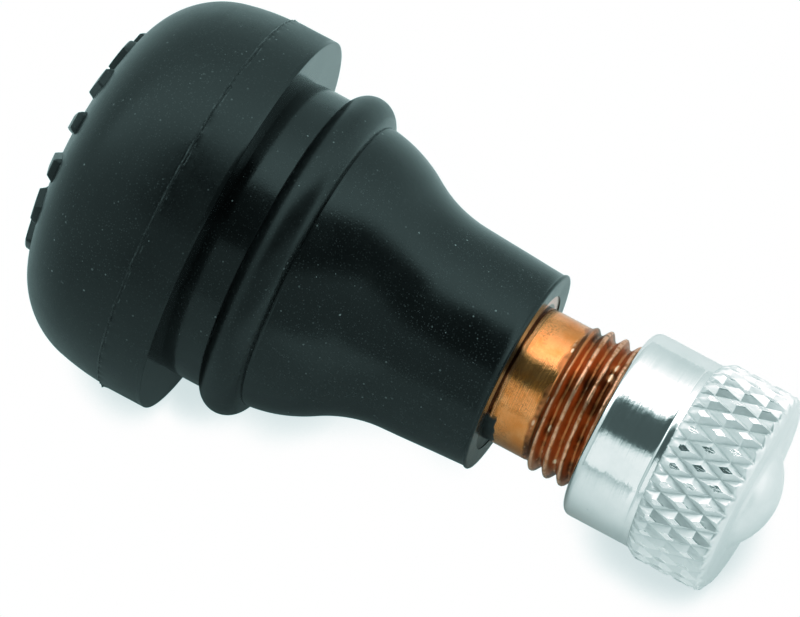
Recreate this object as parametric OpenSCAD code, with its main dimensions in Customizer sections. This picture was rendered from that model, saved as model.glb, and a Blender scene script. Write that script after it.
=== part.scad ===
// Snap-in rubber tyre valve with a brass stem, a screw-in core and a knurled metal cap.
// Sizes are in millimetres. The valve's axis is +X, pointing out of the wheel to the cap,
// and the origin is the centre of the rim seat, the flange face that bears on the rim.

/* [Rubber head] */
// Diameter of the flange that bears on the inside of the rim
flange_d = 19.84; // [18.5:0.02:21]
// Length of the flange land, from the rim seat back to the parting seam
flange_land = 2.3; // [1.5:0.1:3]
// Height of the flash ridge left at the parting seam
seam_ridge = 0.04; // [0.02:0.01:0.1]
// Drop in radius from the flange land to the side of the head
seam_step = 0.08; // [0.04:0.01:0.3]
// Length over which the seam steps down
seam_len = 0.3; // [0.2:0.1:1]
// Lean of the head's side at the seam, in degrees
side_lean = 3.5; // [2:0.5:6]
// Radius of the head's swelling side
side_curve_r = 12; // [9:0.5:16]
// Lean where the side runs into the corner, in degrees
corner_lean = 14.2; // [10:0.2:20]
// Radius of the corner between the side and the domed back
corner_r = 4.6; // [4:0.1:5.2]
// Radius of the domed back
dome_r = 21.5; // [18:0.5:30]
// Diameter of the air hole through the back of the head
air_hole_d = 4.8; // [4.2:0.1:6]
// Rounding at the flange's front edge
flange_edge = 0.25; // [0.1:0.05:0.5]

/* [Raised blocks on the back] */
// Number of blocks moulded in a ring on the back
block_count = 14; // [8:1:16]
// Radius of the ring of blocks
block_ring_r = 5.2; // [4.6:0.1:5.6]
// Radial length of a block
block_len = 1.7; // [1:0.1:2]
// Width of a block
block_w = 1.05; // [0.6:0.05:1.2]
// Height of a block above the dome
block_h = 0.36; // [0.2:0.02:0.5]

/* [Rim groove] */
// Diameter of the neck that fills the rim's valve hole
neck_d = 15.55; // [14.6:0.05:15.8]
// Width of the groove that takes the rim
groove_w = 2.05; // [1.6:0.05:3]
// Fillet at the root of the groove
groove_fillet = 0.2; // [0.1:0.05:0.4]
// Diameter of the snap bead
bead_d = 17.05; // [16.5:0.05:17.5]
// Radius of the bead's rounded section
bead_r = 1.15; // [1:0.05:1.4]

/* [Rubber sleeve] */
// Diameter just outside the bead
shoulder_d = 15.05; // [14.7:0.05:15.5]
// Diameter where the shoulder has run into the sleeve
throat_d = 10.85; // [10.4:0.05:11.6]
// Radius of the shoulder's outward curve
shoulder_curve_r = 7.4; // [6:0.1:8.5]
// Radius of the throat's inward curve
throat_curve_r = 6.6; // [5:0.1:8]
// Taper of the shoulder at the bead, in degrees
shoulder_taper = 5.5; // [2:0.5:8]
// Taper of the sleeve, in degrees
sleeve_taper = 3.5; // [1:0.1:4]
// Length of rubber from the rim seat to the sleeve's mouth
sleeve_len = 15.24; // [14.5:0.1:18]
// Height of the moulding lip round the mouth
lip_h = 0.07; // [0.05:0.01:0.2]
// Length of the moulding lip
lip_len = 0.25; // [0.2:0.05:0.6]

/* [Brass stem] */
// Outer diameter of the cap thread
thread_d = 7.7; // [7.4:0.05:8]
// Length of the cap thread
thread_len = 8.65; // [8:0.05:11]
// Diameter of the plain shank
shank_d = 7.05; // [6.7:0.05:7.3]
// Bare shank between the rubber and the thread
plain_len = 2.11; // [1:0.1:4]
// Diameter of the collar at the rubber's mouth
collar_d = 8.3; // [7.9:0.1:9]
// Length of the collar
collar_len = 0.8; // [0.5:0.1:1.5]
// Depth of the collar's face below the rubber's mouth
collar_sink = 0.06; // [0.05:0.01:0.3]
// Chamfer at both ends of the thread
thread_chamfer = 0.42; // [0.2:0.02:0.6]
// Depth of the stem's foot behind the rim seat
foot_depth = 4; // [3:0.1:5]
// Diameter of the foot that locks the stem in the rubber
foot_d = 9.4; // [8.6:0.1:10.4]
// Thickness of the foot at its rim
foot_t = 0.9; // [0.6:0.1:1.4]
// Number of locking rings on the buried shank
ring_count = 4; // [2:1:5]
// Height of a locking ring
ring_h = 0.4; // [0.2:0.05:0.6]
// Spacing of the locking rings
ring_pitch = 2.4; // [1.8:0.1:2.8]
// Diameter of the chamber below the core's seat
chamber_d = 3.9; // [3.7:0.05:4.2]
// Diameter of the bore above the core's seat
seat_d = 4.6; // [4.5:0.05:4.8]
// Length of the conical core seat
seat_len = 1.5; // [1.2:0.1:2.2]
// Chamfer at the mouth of the bore
mouth_chamfer = 0.3; // [0.1:0.05:0.5]

/* [Core plug] */
// Outer diameter of the plug's thread
plug_d = 5; // [4.9:0.05:5.3]
// Length of the threaded body
plug_len = 4.6; // [4:0.1:6]
// Depth of the plug's bridge below the stem's tip
plug_sink = 0.8; // [0.5:0.1:1.5]
// Height of the bridge that the core key turns
bridge_h = 1; // [0.6:0.1:1.6]
// Width of the bridge across its two flats
bridge_w = 2.7; // [2.4:0.05:3.2]
// Span of the bridge
bridge_d = 4.3; // [3.8:0.1:4.6]
// Diameter of the hole round the pin
plug_bore_d = 1.9; // [1.7:0.05:2.2]
// Diameter of the neck that the barrel swivels on
plug_neck_d = 3.2; // [3:0.05:3.4]
// Length of the neck
plug_neck_len = 1.4; // [1:0.1:2]

/* [Core barrel] */
// Diameter of the bell that is crimped round the neck
bell_d = 4.3; // [4.2:0.05:4.45]
// Length of the bell
bell_len = 2.5; // [2.2:0.1:3]
// Diameter under the barrel's seal
gland_d = 3.3; // [3.2:0.02:3.4]
// Length of the seal's place
gland_len = 1.9; // [1.8:0.05:2.4]
// Diameter of the ridge that holds the seal up
ridge_d = 3.6; // [3.5:0.02:3.66]
// Length of the ridge
ridge_len = 0.3; // [0.2:0.05:0.5]
// Diameter of the tube
tube_d = 3.2; // [3.1:0.05:3.3]
// Length of the tube below the ridge
tube_len = 5.8; // [5:0.1:8]
// Bore of the tube, round the spring
tube_bore_d = 2.6; // [2.5:0.02:2.7]
// Diameter of the port at the foot of the tube
port_d = 1.9; // [1.7:0.05:2]
// Length of the port
port_len = 1.8; // [1.4:0.1:2.4]
// Width of the sealing lip round the port
lip_w = 0.28; // [0.2:0.02:0.3]

/* [Pin and spring] */
// Diameter of the pin
pin_d = 1.1; // [1:0.05:1.2]
// Depth of the pin's tip below the stem's tip
pin_sink = 0.3; // [0.1:0.05:0.6]
// Span of the flattened ears that hold the spring
ear_d = 2.3; // [2.2:0.02:2.4]
// Width of the ears
ear_w = 1.4; // [1.2:0.05:1.6]
// Thickness of the ears
ear_t = 0.5; // [0.4:0.05:0.7]
// Gap between the ears and the plug's neck
ear_gap = 0.7; // [0.5:0.1:1]
// Diameter of the spring wire
wire_d = 0.34; // [0.28:0.01:0.38]
// Outer diameter of the spring
spring_d = 2.26; // [2.2:0.01:2.34]
// Number of turns of the spring
spring_turns = 8; // [6:1:10]
// Diameter of the cup
cup_d = 3.1; // [2.9:0.05:3.3]
// Wall of the cup
cup_wall = 0.28; // [0.2:0.02:0.34]
// Thickness of the cup's base
cup_base = 0.4; // [0.3:0.05:0.6]
// Thickness of the cup's seal
cup_seal_t = 1.3; // [1:0.1:1.8]
// Height of the seal above the cup's rim
cup_seal_proud = 0.3; // [0.1:0.05:0.5]
// Diameter of the rivet head under the cup
rivet_d = 1.9; // [1.6:0.05:2.2]
// Height of the rivet head
rivet_h = 0.5; // [0.3:0.05:0.8]

/* [Cap] */
// Length of the cap from its mouth to its end face
cap_len = 7.82; // [7.4:0.02:10]
// Diameter of the smooth skirt
skirt_d = 9.77; // [9.4:0.05:10.2]
// Length of the knurled band
knurl_len = 4.2; // [3:0.1:5]
// Diameter over the knurl
knurl_d = 10.44; // [10.3:0.02:10.8]
// Depth of the knurl's grooves
knurl_depth = 0.27; // [0.2:0.01:0.34]
// Number of diamonds in one row round the cap
knurl_count = 33; // [26:1:40]
// Length of one diamond along the axis
diamond_len = 2.32; // [1.8:0.02:2.8]
// Share of a diamond's length and width that its flat top takes
diamond_land = 0.36; // [0.2:0.02:0.5]
// Valley left between two diamonds
valley_w = 0.08; // [0.06:0.01:0.12]
// Slope of the knurled band's inner edge
knurl_slope = 0.5; // [0.3:0.05:0.8]
// Rounding of the cap's end and mouth edges
cap_edge = 0.4; // [0.2:0.05:0.6]
// Thickness of the cap's end wall
cap_end_t = 1.06; // [0.8:0.02:1.6]
// Diameter of the domed nub on the end face
nub_d = 5.3; // [4:0.1:6]
// Height of the nub
nub_h = 1.2; // [0.8:0.02:1.6]
// Thickness of the cap's sealing washer
cap_seal_t = 1; // [0.8:0.05:1.4]
// Diameter of the hole in the washer
cap_seal_bore_d = 2.4; // [2:0.1:3]

/* [Clearances] */
// Gap between mating threads, on the radius
thread_gap = 0.1; // [0.05:0.01:0.15]
// Gap between sliding or nested core pieces, on the radius
core_gap = 0.05; // [0.03:0.01:0.08]
// Gap round the cap's washer, on the radius
washer_gap = 0.15; // [0.1:0.01:0.2]

/* [Hidden] */
$fn = 96;
// Straight pieces in one arc of a profile
arc_steps = 14;
// How far a cut runs past the face that it opens
over = 0.5;
// How far a raised detail is rooted in the piece that carries it
root = 0.2;
// How far the knurl is rooted in the band
knurl_sink = 0.06;

// Head of the rubber body
flange_r = flange_d / 2;
seam_x = -flange_land;
side_r = flange_r - seam_step;
side_centre = [side_r - side_curve_r * cos(side_lean),
               seam_x - seam_len + side_curve_r * sin(side_lean)];
corner_centre = side_centre + (side_curve_r - corner_r) * [cos(corner_lean), -sin(corner_lean)];
dome_x = corner_centre[1] + sqrt(pow(dome_r - corner_r, 2) - pow(corner_centre[0], 2));
dome_end_angle = asin(corner_centre[0] / (dome_r - corner_r));
block_tilt = asin(block_ring_r / dome_r);

// Rim groove and sleeve
neck_r = neck_d / 2;
bead_centre_r = bead_d / 2 - bead_r;
bead_start = acos((neck_r - bead_centre_r) / bead_r);
bead_end = acos((shoulder_d / 2 - bead_centre_r) / bead_r);
bead_x = groove_w + bead_r * sin(bead_start);
shoulder_x = bead_x + bead_r * sin(bead_end);
shoulder_drop = (shoulder_d - throat_d) / 2;
shoulder_slope = acos((shoulder_curve_r * cos(shoulder_taper) + throat_curve_r * cos(sleeve_taper)
                       - shoulder_drop) / (shoulder_curve_r + throat_curve_r));
shoulder_centre = [shoulder_d / 2 - shoulder_curve_r * cos(shoulder_taper),
                   shoulder_x - shoulder_curve_r * sin(shoulder_taper)];
throat_centre = shoulder_centre
    + (shoulder_curve_r + throat_curve_r) * [cos(shoulder_slope), sin(shoulder_slope)];
throat_x = throat_centre[1] - throat_curve_r * sin(sleeve_taper);
mouth_r = throat_d / 2 - (sleeve_len - lip_len - throat_x) * tan(sleeve_taper);

// Stem
shank_r = shank_d / 2;
thread_r = thread_d / 2;
collar_x = sleeve_len - collar_sink;
thread_x = sleeve_len + plain_len;
tip_x = thread_x + thread_len;
foot_x = -foot_depth;
first_ring_x = groove_w;

// Core, counted down from the stem's tip
bridge_x = tip_x - plug_sink;
plug_top_x = bridge_x - bridge_h;
plug_x = plug_top_x - plug_len;
neck_x = plug_x - plug_neck_len;
gland_x = plug_x - bell_len;
ridge_x = gland_x - gland_len;
tube_x = ridge_x - ridge_len;
port_x = tube_x - tube_len;
spring_seat_x = port_x + port_len;
tube_top_x = neck_x - core_gap;
ear_top_x = tube_top_x - ear_gap;
ear_x = ear_top_x - ear_t;
plug_bore_r = plug_d / 2 + thread_gap;
seat_top_x = gland_x - core_gap;
seat_foot_x = seat_top_x - seat_len;

// Pin and cup, hung below the barrel's port, with the cup and its seal pushed on the pin
pin_r = pin_d / 2;
cup_floor_x = port_x - cup_seal_t;
cup_x = cup_floor_x - cup_base;
cup_rim_x = port_x - cup_seal_proud;
rivet_x = cup_x - rivet_h;
pin_tip_x = tip_x - pin_sink;

// Cap, set by its washer on the stem's tip
washer_x = tip_x + cap_seal_t;
cap_end_x = washer_x + cap_end_t;
cap_mouth_x = cap_end_x - cap_len;
knurl_x = cap_end_x - knurl_len;
knurl_root_r = knurl_d / 2 - knurl_depth;
cap_bore_r = thread_r + thread_gap;
nub_r = (pow(nub_d / 2, 2) + pow(nub_h, 2)) / (2 * nub_h);
nub_half_angle = asin(nub_d / 2 / nub_r);

// Knurl: a diamond's width, the lean of the bars that cross in it, and a bar's half width and length
diamond_w = 2 * knurl_root_r * tan(180 / knurl_count);
knurl_lean = atan(diamond_w / diamond_len);
knurl_bar_half_w = diamond_len * sin(knurl_lean) / 2;
knurl_bar_len = 1.5 * diamond_len;

// Points of an arc in a profile of [radius, axial place], from one angle to the other
function arc(centre, radius, from, to) =
    [for (i = [0:arc_steps]) let (a = from + (to - from) * i / arc_steps)
        centre + radius * [cos(a), sin(a)]];

// Radius of the conical core seat at an axial place
function seat_r(x) =
    chamber_d / 2 + (seat_d - chamber_d) / 2 * (x - seat_foot_x) / seat_len;

// Turns a profile of [radius, axial place] round the valve's axis
module turned(profile) {
    rotate([0, 90, 0]) rotate_extrude() polygon(profile);
}

// A round bar along the valve's axis, from one place to another
module bar(from, to, d) {
    translate([from, 0, 0]) rotate([0, 90, 0]) cylinder(d = d, h = to - from);
}

// Outer form of the stem, which is also the hollow that the rubber is moulded on
function stem_outline() = concat(
    [[0, foot_x], [foot_d / 2, foot_x], [foot_d / 2, foot_x + foot_t],
     [shank_r, foot_x + foot_t + (foot_d / 2 - shank_r) / 2]],
    [for (i = [0:ring_count - 1]) let (x = first_ring_x + i * ring_pitch)
        each [[shank_r, x - ring_h], [shank_r + ring_h, x], [shank_r, x + ring_h]]],
    [[shank_r, collar_x - collar_len], [collar_d / 2, collar_x - collar_len],
     [collar_d / 2, collar_x], [shank_r, collar_x],
     [shank_r, thread_x], [thread_r, thread_x + thread_chamfer],
     [thread_r, tip_x - thread_chamfer], [thread_r - thread_chamfer, tip_x], [0, tip_x]]);

// Outer form of the rubber, from the dome to the sleeve's mouth
function rubber_outline() = concat(
    arc([0, dome_x], dome_r, -90, dome_end_angle - 90),
    arc(corner_centre, corner_r, dome_end_angle - 90, -corner_lean),
    arc(side_centre, side_curve_r, -corner_lean, -side_lean),
    [[flange_r + seam_ridge, seam_x], [flange_r, seam_x + seam_ridge * 2]],
    arc([flange_r - flange_edge, -flange_edge], flange_edge, 0, 90),
    arc([neck_r + groove_fillet, groove_fillet], groove_fillet, -90, -180),
    arc([bead_centre_r, bead_x], bead_r, -bead_start, bead_end),
    arc(shoulder_centre, shoulder_curve_r, shoulder_taper, shoulder_slope),
    arc(throat_centre, throat_curve_r, shoulder_slope + 180, sleeve_taper + 180),
    [[mouth_r, sleeve_len - lip_len], [mouth_r + lip_h, sleeve_len - lip_len / 2],
     [mouth_r + lip_h, sleeve_len], [0, sleeve_len]]);

// Moulded rubber: domed head, flange, rim groove, snap bead and sleeve
module rubber_body() {
    color("#1c2123") difference() {
        union() {
            turned(rubber_outline());
            for (i = [0:block_count - 1]) rotate([360 * i / block_count, 0, 0]) raised_block();
        }
        turned(stem_outline());
        bar(foot_x - dome_r, foot_x + over, air_hole_d);
        bar(sleeve_len - collar_sink, sleeve_len + over, collar_d);
    }
}

// One block on the back of the head, standing square on the dome
module raised_block() {
    translate([dome_x, 0, 0]) rotate([0, block_tilt, 0])
        translate([-dome_r - block_h, -block_w / 2, -block_len / 2])
            cube([block_h + root, block_w, block_len]);
}

// Turned brass stem with its foot, locking rings, collar, cap thread and stepped bore
module stem() {
    color("#b4692f") difference() {
        turned(stem_outline());
        turned([[0, foot_x - over], [chamber_d / 2, foot_x - over], [chamber_d / 2, seat_foot_x],
                [seat_d / 2, seat_top_x], [seat_d / 2, plug_x - core_gap],
                [plug_bore_r, plug_x - core_gap], [plug_bore_r, tip_x - mouth_chamfer],
                [plug_bore_r + mouth_chamfer, tip_x], [plug_bore_r + mouth_chamfer, tip_x + over],
                [0, tip_x + over]]);
    }
}

// Screwed plug of the core, with the bridge that the core key turns
module core_plug() {
    color("#c9a24f") difference() {
        union() {
            bar(neck_x, plug_x + over, plug_neck_d);
            bar(plug_x, plug_top_x, plug_d);
            intersection() {
                bar(plug_top_x - over, bridge_x, bridge_d);
                translate([plug_x, -bridge_w / 2, -bridge_d]) cube([plug_len + bridge_h, bridge_w, 2 * bridge_d]);
            }
        }
        bar(neck_x - over, bridge_x + over, plug_bore_d);
    }
}

// Barrel of the core: bell, gland for the seal, ridge, tube and sealing lip
module core_barrel() {
    color("#c9a24f") turned(concat(
        [[port_d / 2, port_x], [port_d / 2 + lip_w, port_x],
         [tube_d / 2, port_x + tube_d / 2 - port_d / 2 - lip_w],
         [tube_d / 2, tube_x], [ridge_d / 2, tube_x + ridge_len / 3], [ridge_d / 2, ridge_x],
         [gland_d / 2, ridge_x], [gland_d / 2, gland_x],
         [bell_d / 2, gland_x], [bell_d / 2, plug_x]],
        [[plug_neck_d / 2 + core_gap, plug_x], [plug_neck_d / 2 + core_gap, tube_top_x],
         [tube_bore_d / 2, tube_top_x], [tube_bore_d / 2, spring_seat_x], [port_d / 2, spring_seat_x]]));
}

// Ring that seals the barrel on the stem's conical seat
module barrel_seal() {
    color("#7d2a22") turned([
        [gland_d / 2, ridge_x], [seat_r(seat_foot_x), ridge_x], [seat_r(seat_foot_x), seat_foot_x],
        [seat_r(seat_top_x), seat_top_x], [seat_r(seat_top_x), gland_x], [gland_d / 2, gland_x]]);
}

// Places along the spring's wire: closed end turns and an even pitch between them
spring_free_len = ear_x - spring_seat_x - wire_d - core_gap;
spring_end_pitch = wire_d + core_gap;
spring_pitch = (spring_free_len - 2 * spring_end_pitch) / (spring_turns - 2);
spring_mean_r = (spring_d - wire_d) / 2;
function wire_rise(turn) =
    spring_end_pitch * min(turn, 1)
    + spring_pitch * max(0, min(turn - 1, spring_turns - 2))
    + spring_end_pitch * max(0, turn - spring_turns + 1);

// Sides of the wire and steps in one of its turns
wire_sides = 8;
turn_steps = 14;
function wire_ring(i) =
    let (turn = i / turn_steps,
         out = [0, cos(360 * turn), sin(360 * turn)],
         centre = [spring_seat_x + (wire_d + core_gap) / 2 + wire_rise(turn), 0, 0] + spring_mean_r * out)
    [for (k = [0:wire_sides - 1]) let (b = 360 * k / wire_sides)
        centre + wire_d / 2 * (cos(b) * out + sin(b) * [1, 0, 0])];

// Coil spring that holds the pin's seal shut
module core_spring() {
    rings = spring_turns * turn_steps;
    points = [for (i = [0:rings]) each wire_ring(i)];
    sides = [for (i = [0:rings - 1], k = [0:wire_sides - 1])
        let (next = (k + 1) % wire_sides, a = i * wire_sides, b = a + wire_sides)
        each [[a + k, a + next, b + next], [a + k, b + next, b + k]]];
    first = [for (k = [wire_sides - 1:-1:0]) k];
    last = [for (k = [0:wire_sides - 1]) rings * wire_sides + k];
    color("#aeb2b4") polyhedron(points, concat(sides, [first, last]));
}

// Pin with its rounded tip, the flattened ears over the spring and the rivet head
module core_pin() {
    color("#c9a24f") union() {
        turned(concat([[0, rivet_x], [rivet_d / 2, rivet_x], [rivet_d / 2, cup_x], [pin_r, cup_x]],
                      arc([0, pin_tip_x - pin_r], pin_r, 0, 90)));
        intersection() {
            bar(ear_x, ear_top_x, ear_d);
            translate([ear_x - over, -ear_w / 2, -ear_d]) cube([ear_t + 2 * over, ear_w, 2 * ear_d]);
        }
    }
}

// Pressed cup that carries the pin's seal
module pin_cup() {
    color("#c9a24f") turned([
        [pin_r, cup_x], [cup_d / 2 - cup_wall / 2, cup_x], [cup_d / 2, cup_x + cup_wall / 2],
        [cup_d / 2, cup_rim_x], [cup_d / 2 - cup_wall, cup_rim_x],
        [cup_d / 2 - cup_wall, cup_floor_x], [pin_r, cup_floor_x]]);
}

// Rubber disc that shuts the barrel's port
module cup_seal() {
    color("#26292b") turned([
        [pin_r, cup_floor_x], [cup_d / 2 - cup_wall, cup_floor_x],
        [cup_d / 2 - cup_wall, port_x], [pin_r, port_x]]);
}

// One blunt bar of the knurl, leaning to one side of the axis
module knurl_bar(x, lean) {
    top = knurl_bar_half_w * diamond_land;
    spread = (knurl_bar_half_w - valley_w / 2 - top) / knurl_depth;
    foot = top + spread * (knurl_depth + knurl_sink);
    translate([x, 0, 0]) rotate([0, 0, lean]) rotate([90, 0, 90])
        linear_extrude(height = knurl_bar_len, center = true)
            polygon([[-foot, knurl_root_r - knurl_sink], [foot, knurl_root_r - knurl_sink],
                     [top, knurl_d / 2], [-top, knurl_d / 2]]);
}

// Side view of the knurled band, which trims the diamonds at its sloped inner edge and blunt outer edge
module band_envelope() {
    blunt = cap_edge / 3;
    rotate([90, 0, 0]) linear_extrude(height = knurl_bar_len, center = true) polygon([
        [knurl_x, 0], [knurl_x, skirt_d / 2], [knurl_x + knurl_slope, knurl_d / 2],
        [cap_end_x - cap_edge, knurl_d / 2], [cap_end_x - blunt, knurl_d / 2 - blunt],
        [cap_end_x - blunt, 0]]);
}

// One diamond of the knurl, where two bars cross
module diamond(x) {
    intersection() {
        knurl_bar(x, knurl_lean);
        knurl_bar(x, -knurl_lean);
        band_envelope();
    }
}

// Diamonds of the knurl, row by row from the cap's end, every other row turned by half a diamond
module knurl() {
    rows = ceil(2 * knurl_len / diamond_len);
    for (row = [0:rows], i = [0:knurl_count - 1])
        rotate([360 * (i + (row % 2) / 2) / knurl_count, 0, 0])
            diamond(cap_end_x - row * diamond_len / 2);
}

// Metal cap: smooth skirt, diamond knurled band, end face with its nub, and the threaded hollow
module cap() {
    color("#d3d8da") union() {
        turned(concat(
            [[cap_bore_r + cap_edge / 2, cap_mouth_x]],
            arc([skirt_d / 2 - cap_edge, cap_mouth_x + cap_edge], cap_edge, -90, 0),
            [[skirt_d / 2, knurl_x], [knurl_root_r, knurl_x + knurl_slope / 2]],
            arc([knurl_root_r - cap_edge, cap_end_x - cap_edge], cap_edge, 0, 90),
            arc([0, cap_end_x + nub_h - nub_r], nub_r, 90 - nub_half_angle, 90),
            [[0, washer_x], [cap_bore_r, washer_x], [cap_bore_r, cap_mouth_x + cap_edge / 2]]));
        knurl();
    }
}

// Sealing washer in the bottom of the cap
module cap_seal() {
    color("#3a3d3f") turned([
        [cap_seal_bore_d / 2, tip_x], [cap_bore_r - washer_gap, tip_x],
        [cap_bore_r - washer_gap, washer_x], [cap_seal_bore_d / 2, washer_x]]);
}

rubber_body();
stem();
core_plug();
core_barrel();
barrel_seal();
core_spring();
core_pin();
pin_cup();
cup_seal();
cap();
cap_seal();
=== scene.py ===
"""Looks of a snap-in tyre valve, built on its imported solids.

The valve's axis is +X, pointing to the cap, and the origin is the centre of the rim seat. It lies on a pale
table, on its flange and the knurled end of its cap, under soft studio light with a dark gap over the camera.
Sizes in the classes are millimetres, and every mesh is made in metres.
"""

import logging
import math
from dataclasses import dataclass
from enum import Enum
from typing import Sequence

import bpy
import numpy as np
from mathutils import Matrix, Vector

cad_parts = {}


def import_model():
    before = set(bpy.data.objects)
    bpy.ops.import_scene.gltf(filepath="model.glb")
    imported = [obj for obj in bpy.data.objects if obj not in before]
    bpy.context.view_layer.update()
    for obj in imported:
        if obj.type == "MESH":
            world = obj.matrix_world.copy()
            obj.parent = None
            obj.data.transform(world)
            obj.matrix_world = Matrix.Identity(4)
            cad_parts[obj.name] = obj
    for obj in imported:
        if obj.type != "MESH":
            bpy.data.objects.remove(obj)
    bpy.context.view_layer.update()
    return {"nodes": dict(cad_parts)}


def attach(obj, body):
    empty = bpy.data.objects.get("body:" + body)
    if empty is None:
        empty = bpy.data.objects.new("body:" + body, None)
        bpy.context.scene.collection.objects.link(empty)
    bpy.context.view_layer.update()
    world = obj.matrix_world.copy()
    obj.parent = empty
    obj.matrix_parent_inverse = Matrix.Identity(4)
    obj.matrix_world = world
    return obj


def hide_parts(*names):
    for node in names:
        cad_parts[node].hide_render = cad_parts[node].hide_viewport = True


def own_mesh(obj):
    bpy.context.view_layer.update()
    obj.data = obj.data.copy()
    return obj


LOG = logging.getLogger("tyre_valve")
MM = 0.001
Triple = tuple[float, float, float]
Colour = Triple
Span = tuple[float, float]
Piece = bpy.types.Object
Material = bpy.types.Material
Socket = bpy.types.NodeSocket
Node = bpy.types.Node
NodeTree = bpy.types.NodeTree
Value = Socket | float
Arrow = Socket | Triple
WHITE: Colour = (1.0, 1.0, 1.0)


class Body(Enum):
    """The rigid bodies that the pieces ride on."""

    VALVE = "valve"
    PIN = "pin"
    WASHER = "washer"
    CAP = "cap"


class Ends(Enum):
    """How the two ends of a turned profile are closed."""

    LOOP = "the profile runs back into its own start"
    POLES = "the profile starts and ends on the axis"


# Profiles and surfaces


def line(start: Sequence[float], stop: Sequence[float], step: float) -> np.ndarray:
    """Points of a straight stretch of a profile, evenly spaced, without its last point.

    Args:
        start: First point, as (x, r) in millimetres.
        stop: Point where the next stretch starts.
        step: Greatest spacing of the points, in millimetres.

    Returns:
        Array of (x, r) rows.
    """
    start, stop = np.asarray(start, float), np.asarray(stop, float)
    count = max(1, math.ceil(np.linalg.norm(stop - start) / step))
    share = np.arange(count)[:, None] / count
    return start + (stop - start) * share


def arc(centre: Sequence[float], radius: float, start: float, stop: float, step: float) -> np.ndarray:
    """Points of a round stretch of a profile: centre plus radius times (sine, cosine) of a growing angle.

    Args:
        centre: Centre of the circle, as (x, r) in millimetres.
        radius: Radius of the circle.
        start: First angle in degrees, counted from straight outwards towards +X.
        stop: Last angle.
        step: Greatest spacing of the points, in millimetres.

    Returns:
        Array of (x, r) rows, with both ends.
    """
    sweep = abs(math.radians(stop - start)) * radius
    angle = np.radians(np.linspace(start, stop, max(3, math.ceil(sweep / step) + 1)))
    return np.column_stack([centre[0] + radius * np.sin(angle), centre[1] + radius * np.cos(angle)])


def smooth_step(value: np.ndarray, low: float, high: float) -> np.ndarray:
    """Rises from 0 at low to 1 at high along the cubic 3t^2 - 2t^3, and holds both ends."""
    t = np.clip((value - low) / (high - low), 0.0, 1.0)
    return t * t * (3.0 - 2.0 * t)


def ripple(angle: np.ndarray, along: np.ndarray, seed: int, waves: int = 9) -> np.ndarray:
    """A small repeatable unevenness: a sum of cosine waves round and along the axis, within about -1 to 1.

    Args:
        angle: Angle round the axis, in radians.
        along: Place along the axis, in millimetres.
        seed: Seed of the waves' directions and phases.
        waves: Number of waves in the sum.

    Returns:
        Array of the same shape as the two inputs together.
    """
    draw = np.random.default_rng(seed)
    total = np.zeros(np.broadcast(angle, along).shape)
    for _ in range(waves):
        turns = int(draw.integers(1, 12))
        pitch = draw.uniform(0.4, 2.2)
        phase = draw.uniform(0.0, 2.0 * math.pi)
        total = total + np.cos(turns * angle + pitch * along + phase)
    return total / math.sqrt(waves) / 1.6


def mesh_from_grid(name: str, points: np.ndarray, ends: Ends, creases: np.ndarray | None = None) -> Piece:
    """Makes a closed mesh from a grid of points whose rows go round the axis.

    Args:
        name: Name of the object.
        points: Array (rows, columns, 3) in metres. Columns close on themselves.
        ends: Whether the rows close in a loop or shrink to points on the axis at both ends.
        creases: For each cell, whether its first diagonal follows the surface better than its second.
            Cells are four-sided where it isn't given.

    Returns:
        The new object, linked to the scene.
    """
    rows, columns, _ = points.shape
    index = np.arange(rows * columns).reshape(rows, columns)
    verts = points.reshape(-1, 3)
    row = index if ends is Ends.LOOP else index[:-1]
    below = np.roll(index, -1, axis=0) if ends is Ends.LOOP else index[1:]
    corner = [row, np.roll(row, -1, axis=1), np.roll(below, -1, axis=1), below]
    quads = np.stack(corner, axis=-1).reshape(-1, 4)
    faces: list[np.ndarray] = []
    if creases is None:
        faces.append(quads)
    else:
        first = creases.reshape(-1)
        a, b, c, d = quads.T
        faces.append(np.where(first[:, None], np.column_stack([a, b, c]), np.column_stack([a, b, d])))
        faces.append(np.where(first[:, None], np.column_stack([a, c, d]), np.column_stack([b, c, d])))
    if ends is Ends.POLES:
        poles = np.array([verts[:columns].mean(axis=0), verts[-columns:].mean(axis=0)])
        start, stop = len(verts), len(verts) + 1
        verts = np.vstack([verts, poles])
        rim = index[0]
        faces.append(np.column_stack([np.full(columns, start), np.roll(rim, -1), rim]))
        rim = index[-1]
        faces.append(np.column_stack([np.full(columns, stop), rim, np.roll(rim, -1)]))
    return object_from_faces(name, verts, faces)


def object_from_faces(name: str, verts: np.ndarray, faces: Sequence[np.ndarray]) -> Piece:
    """Fills a new mesh object from arrays of vertices and faces.

    Args:
        name: Name of the object and its mesh.
        verts: Rows of (x, y, z) in metres.
        faces: Arrays of vertex numbers, each with three or four columns.

    Returns:
        The new object, linked to the scene.
    """
    mesh = bpy.data.meshes.new(name)
    corners = np.concatenate([f.reshape(-1) for f in faces])
    sizes = np.concatenate([np.full(len(f), f.shape[1]) for f in faces])
    starts = np.concatenate([[0], np.cumsum(sizes)[:-1]])
    mesh.vertices.add(len(verts))
    mesh.loops.add(len(corners))
    mesh.polygons.add(len(sizes))
    mesh.vertices.foreach_set("co", verts.astype(np.float32).reshape(-1))
    mesh.loops.foreach_set("vertex_index", corners.astype(np.int32))
    mesh.polygons.foreach_set("loop_start", starts.astype(np.int32))
    mesh.update(calc_edges=True)
    mesh.validate()
    made = bpy.data.objects.new(name, mesh)
    bpy.context.scene.collection.objects.link(made)
    return made


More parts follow.
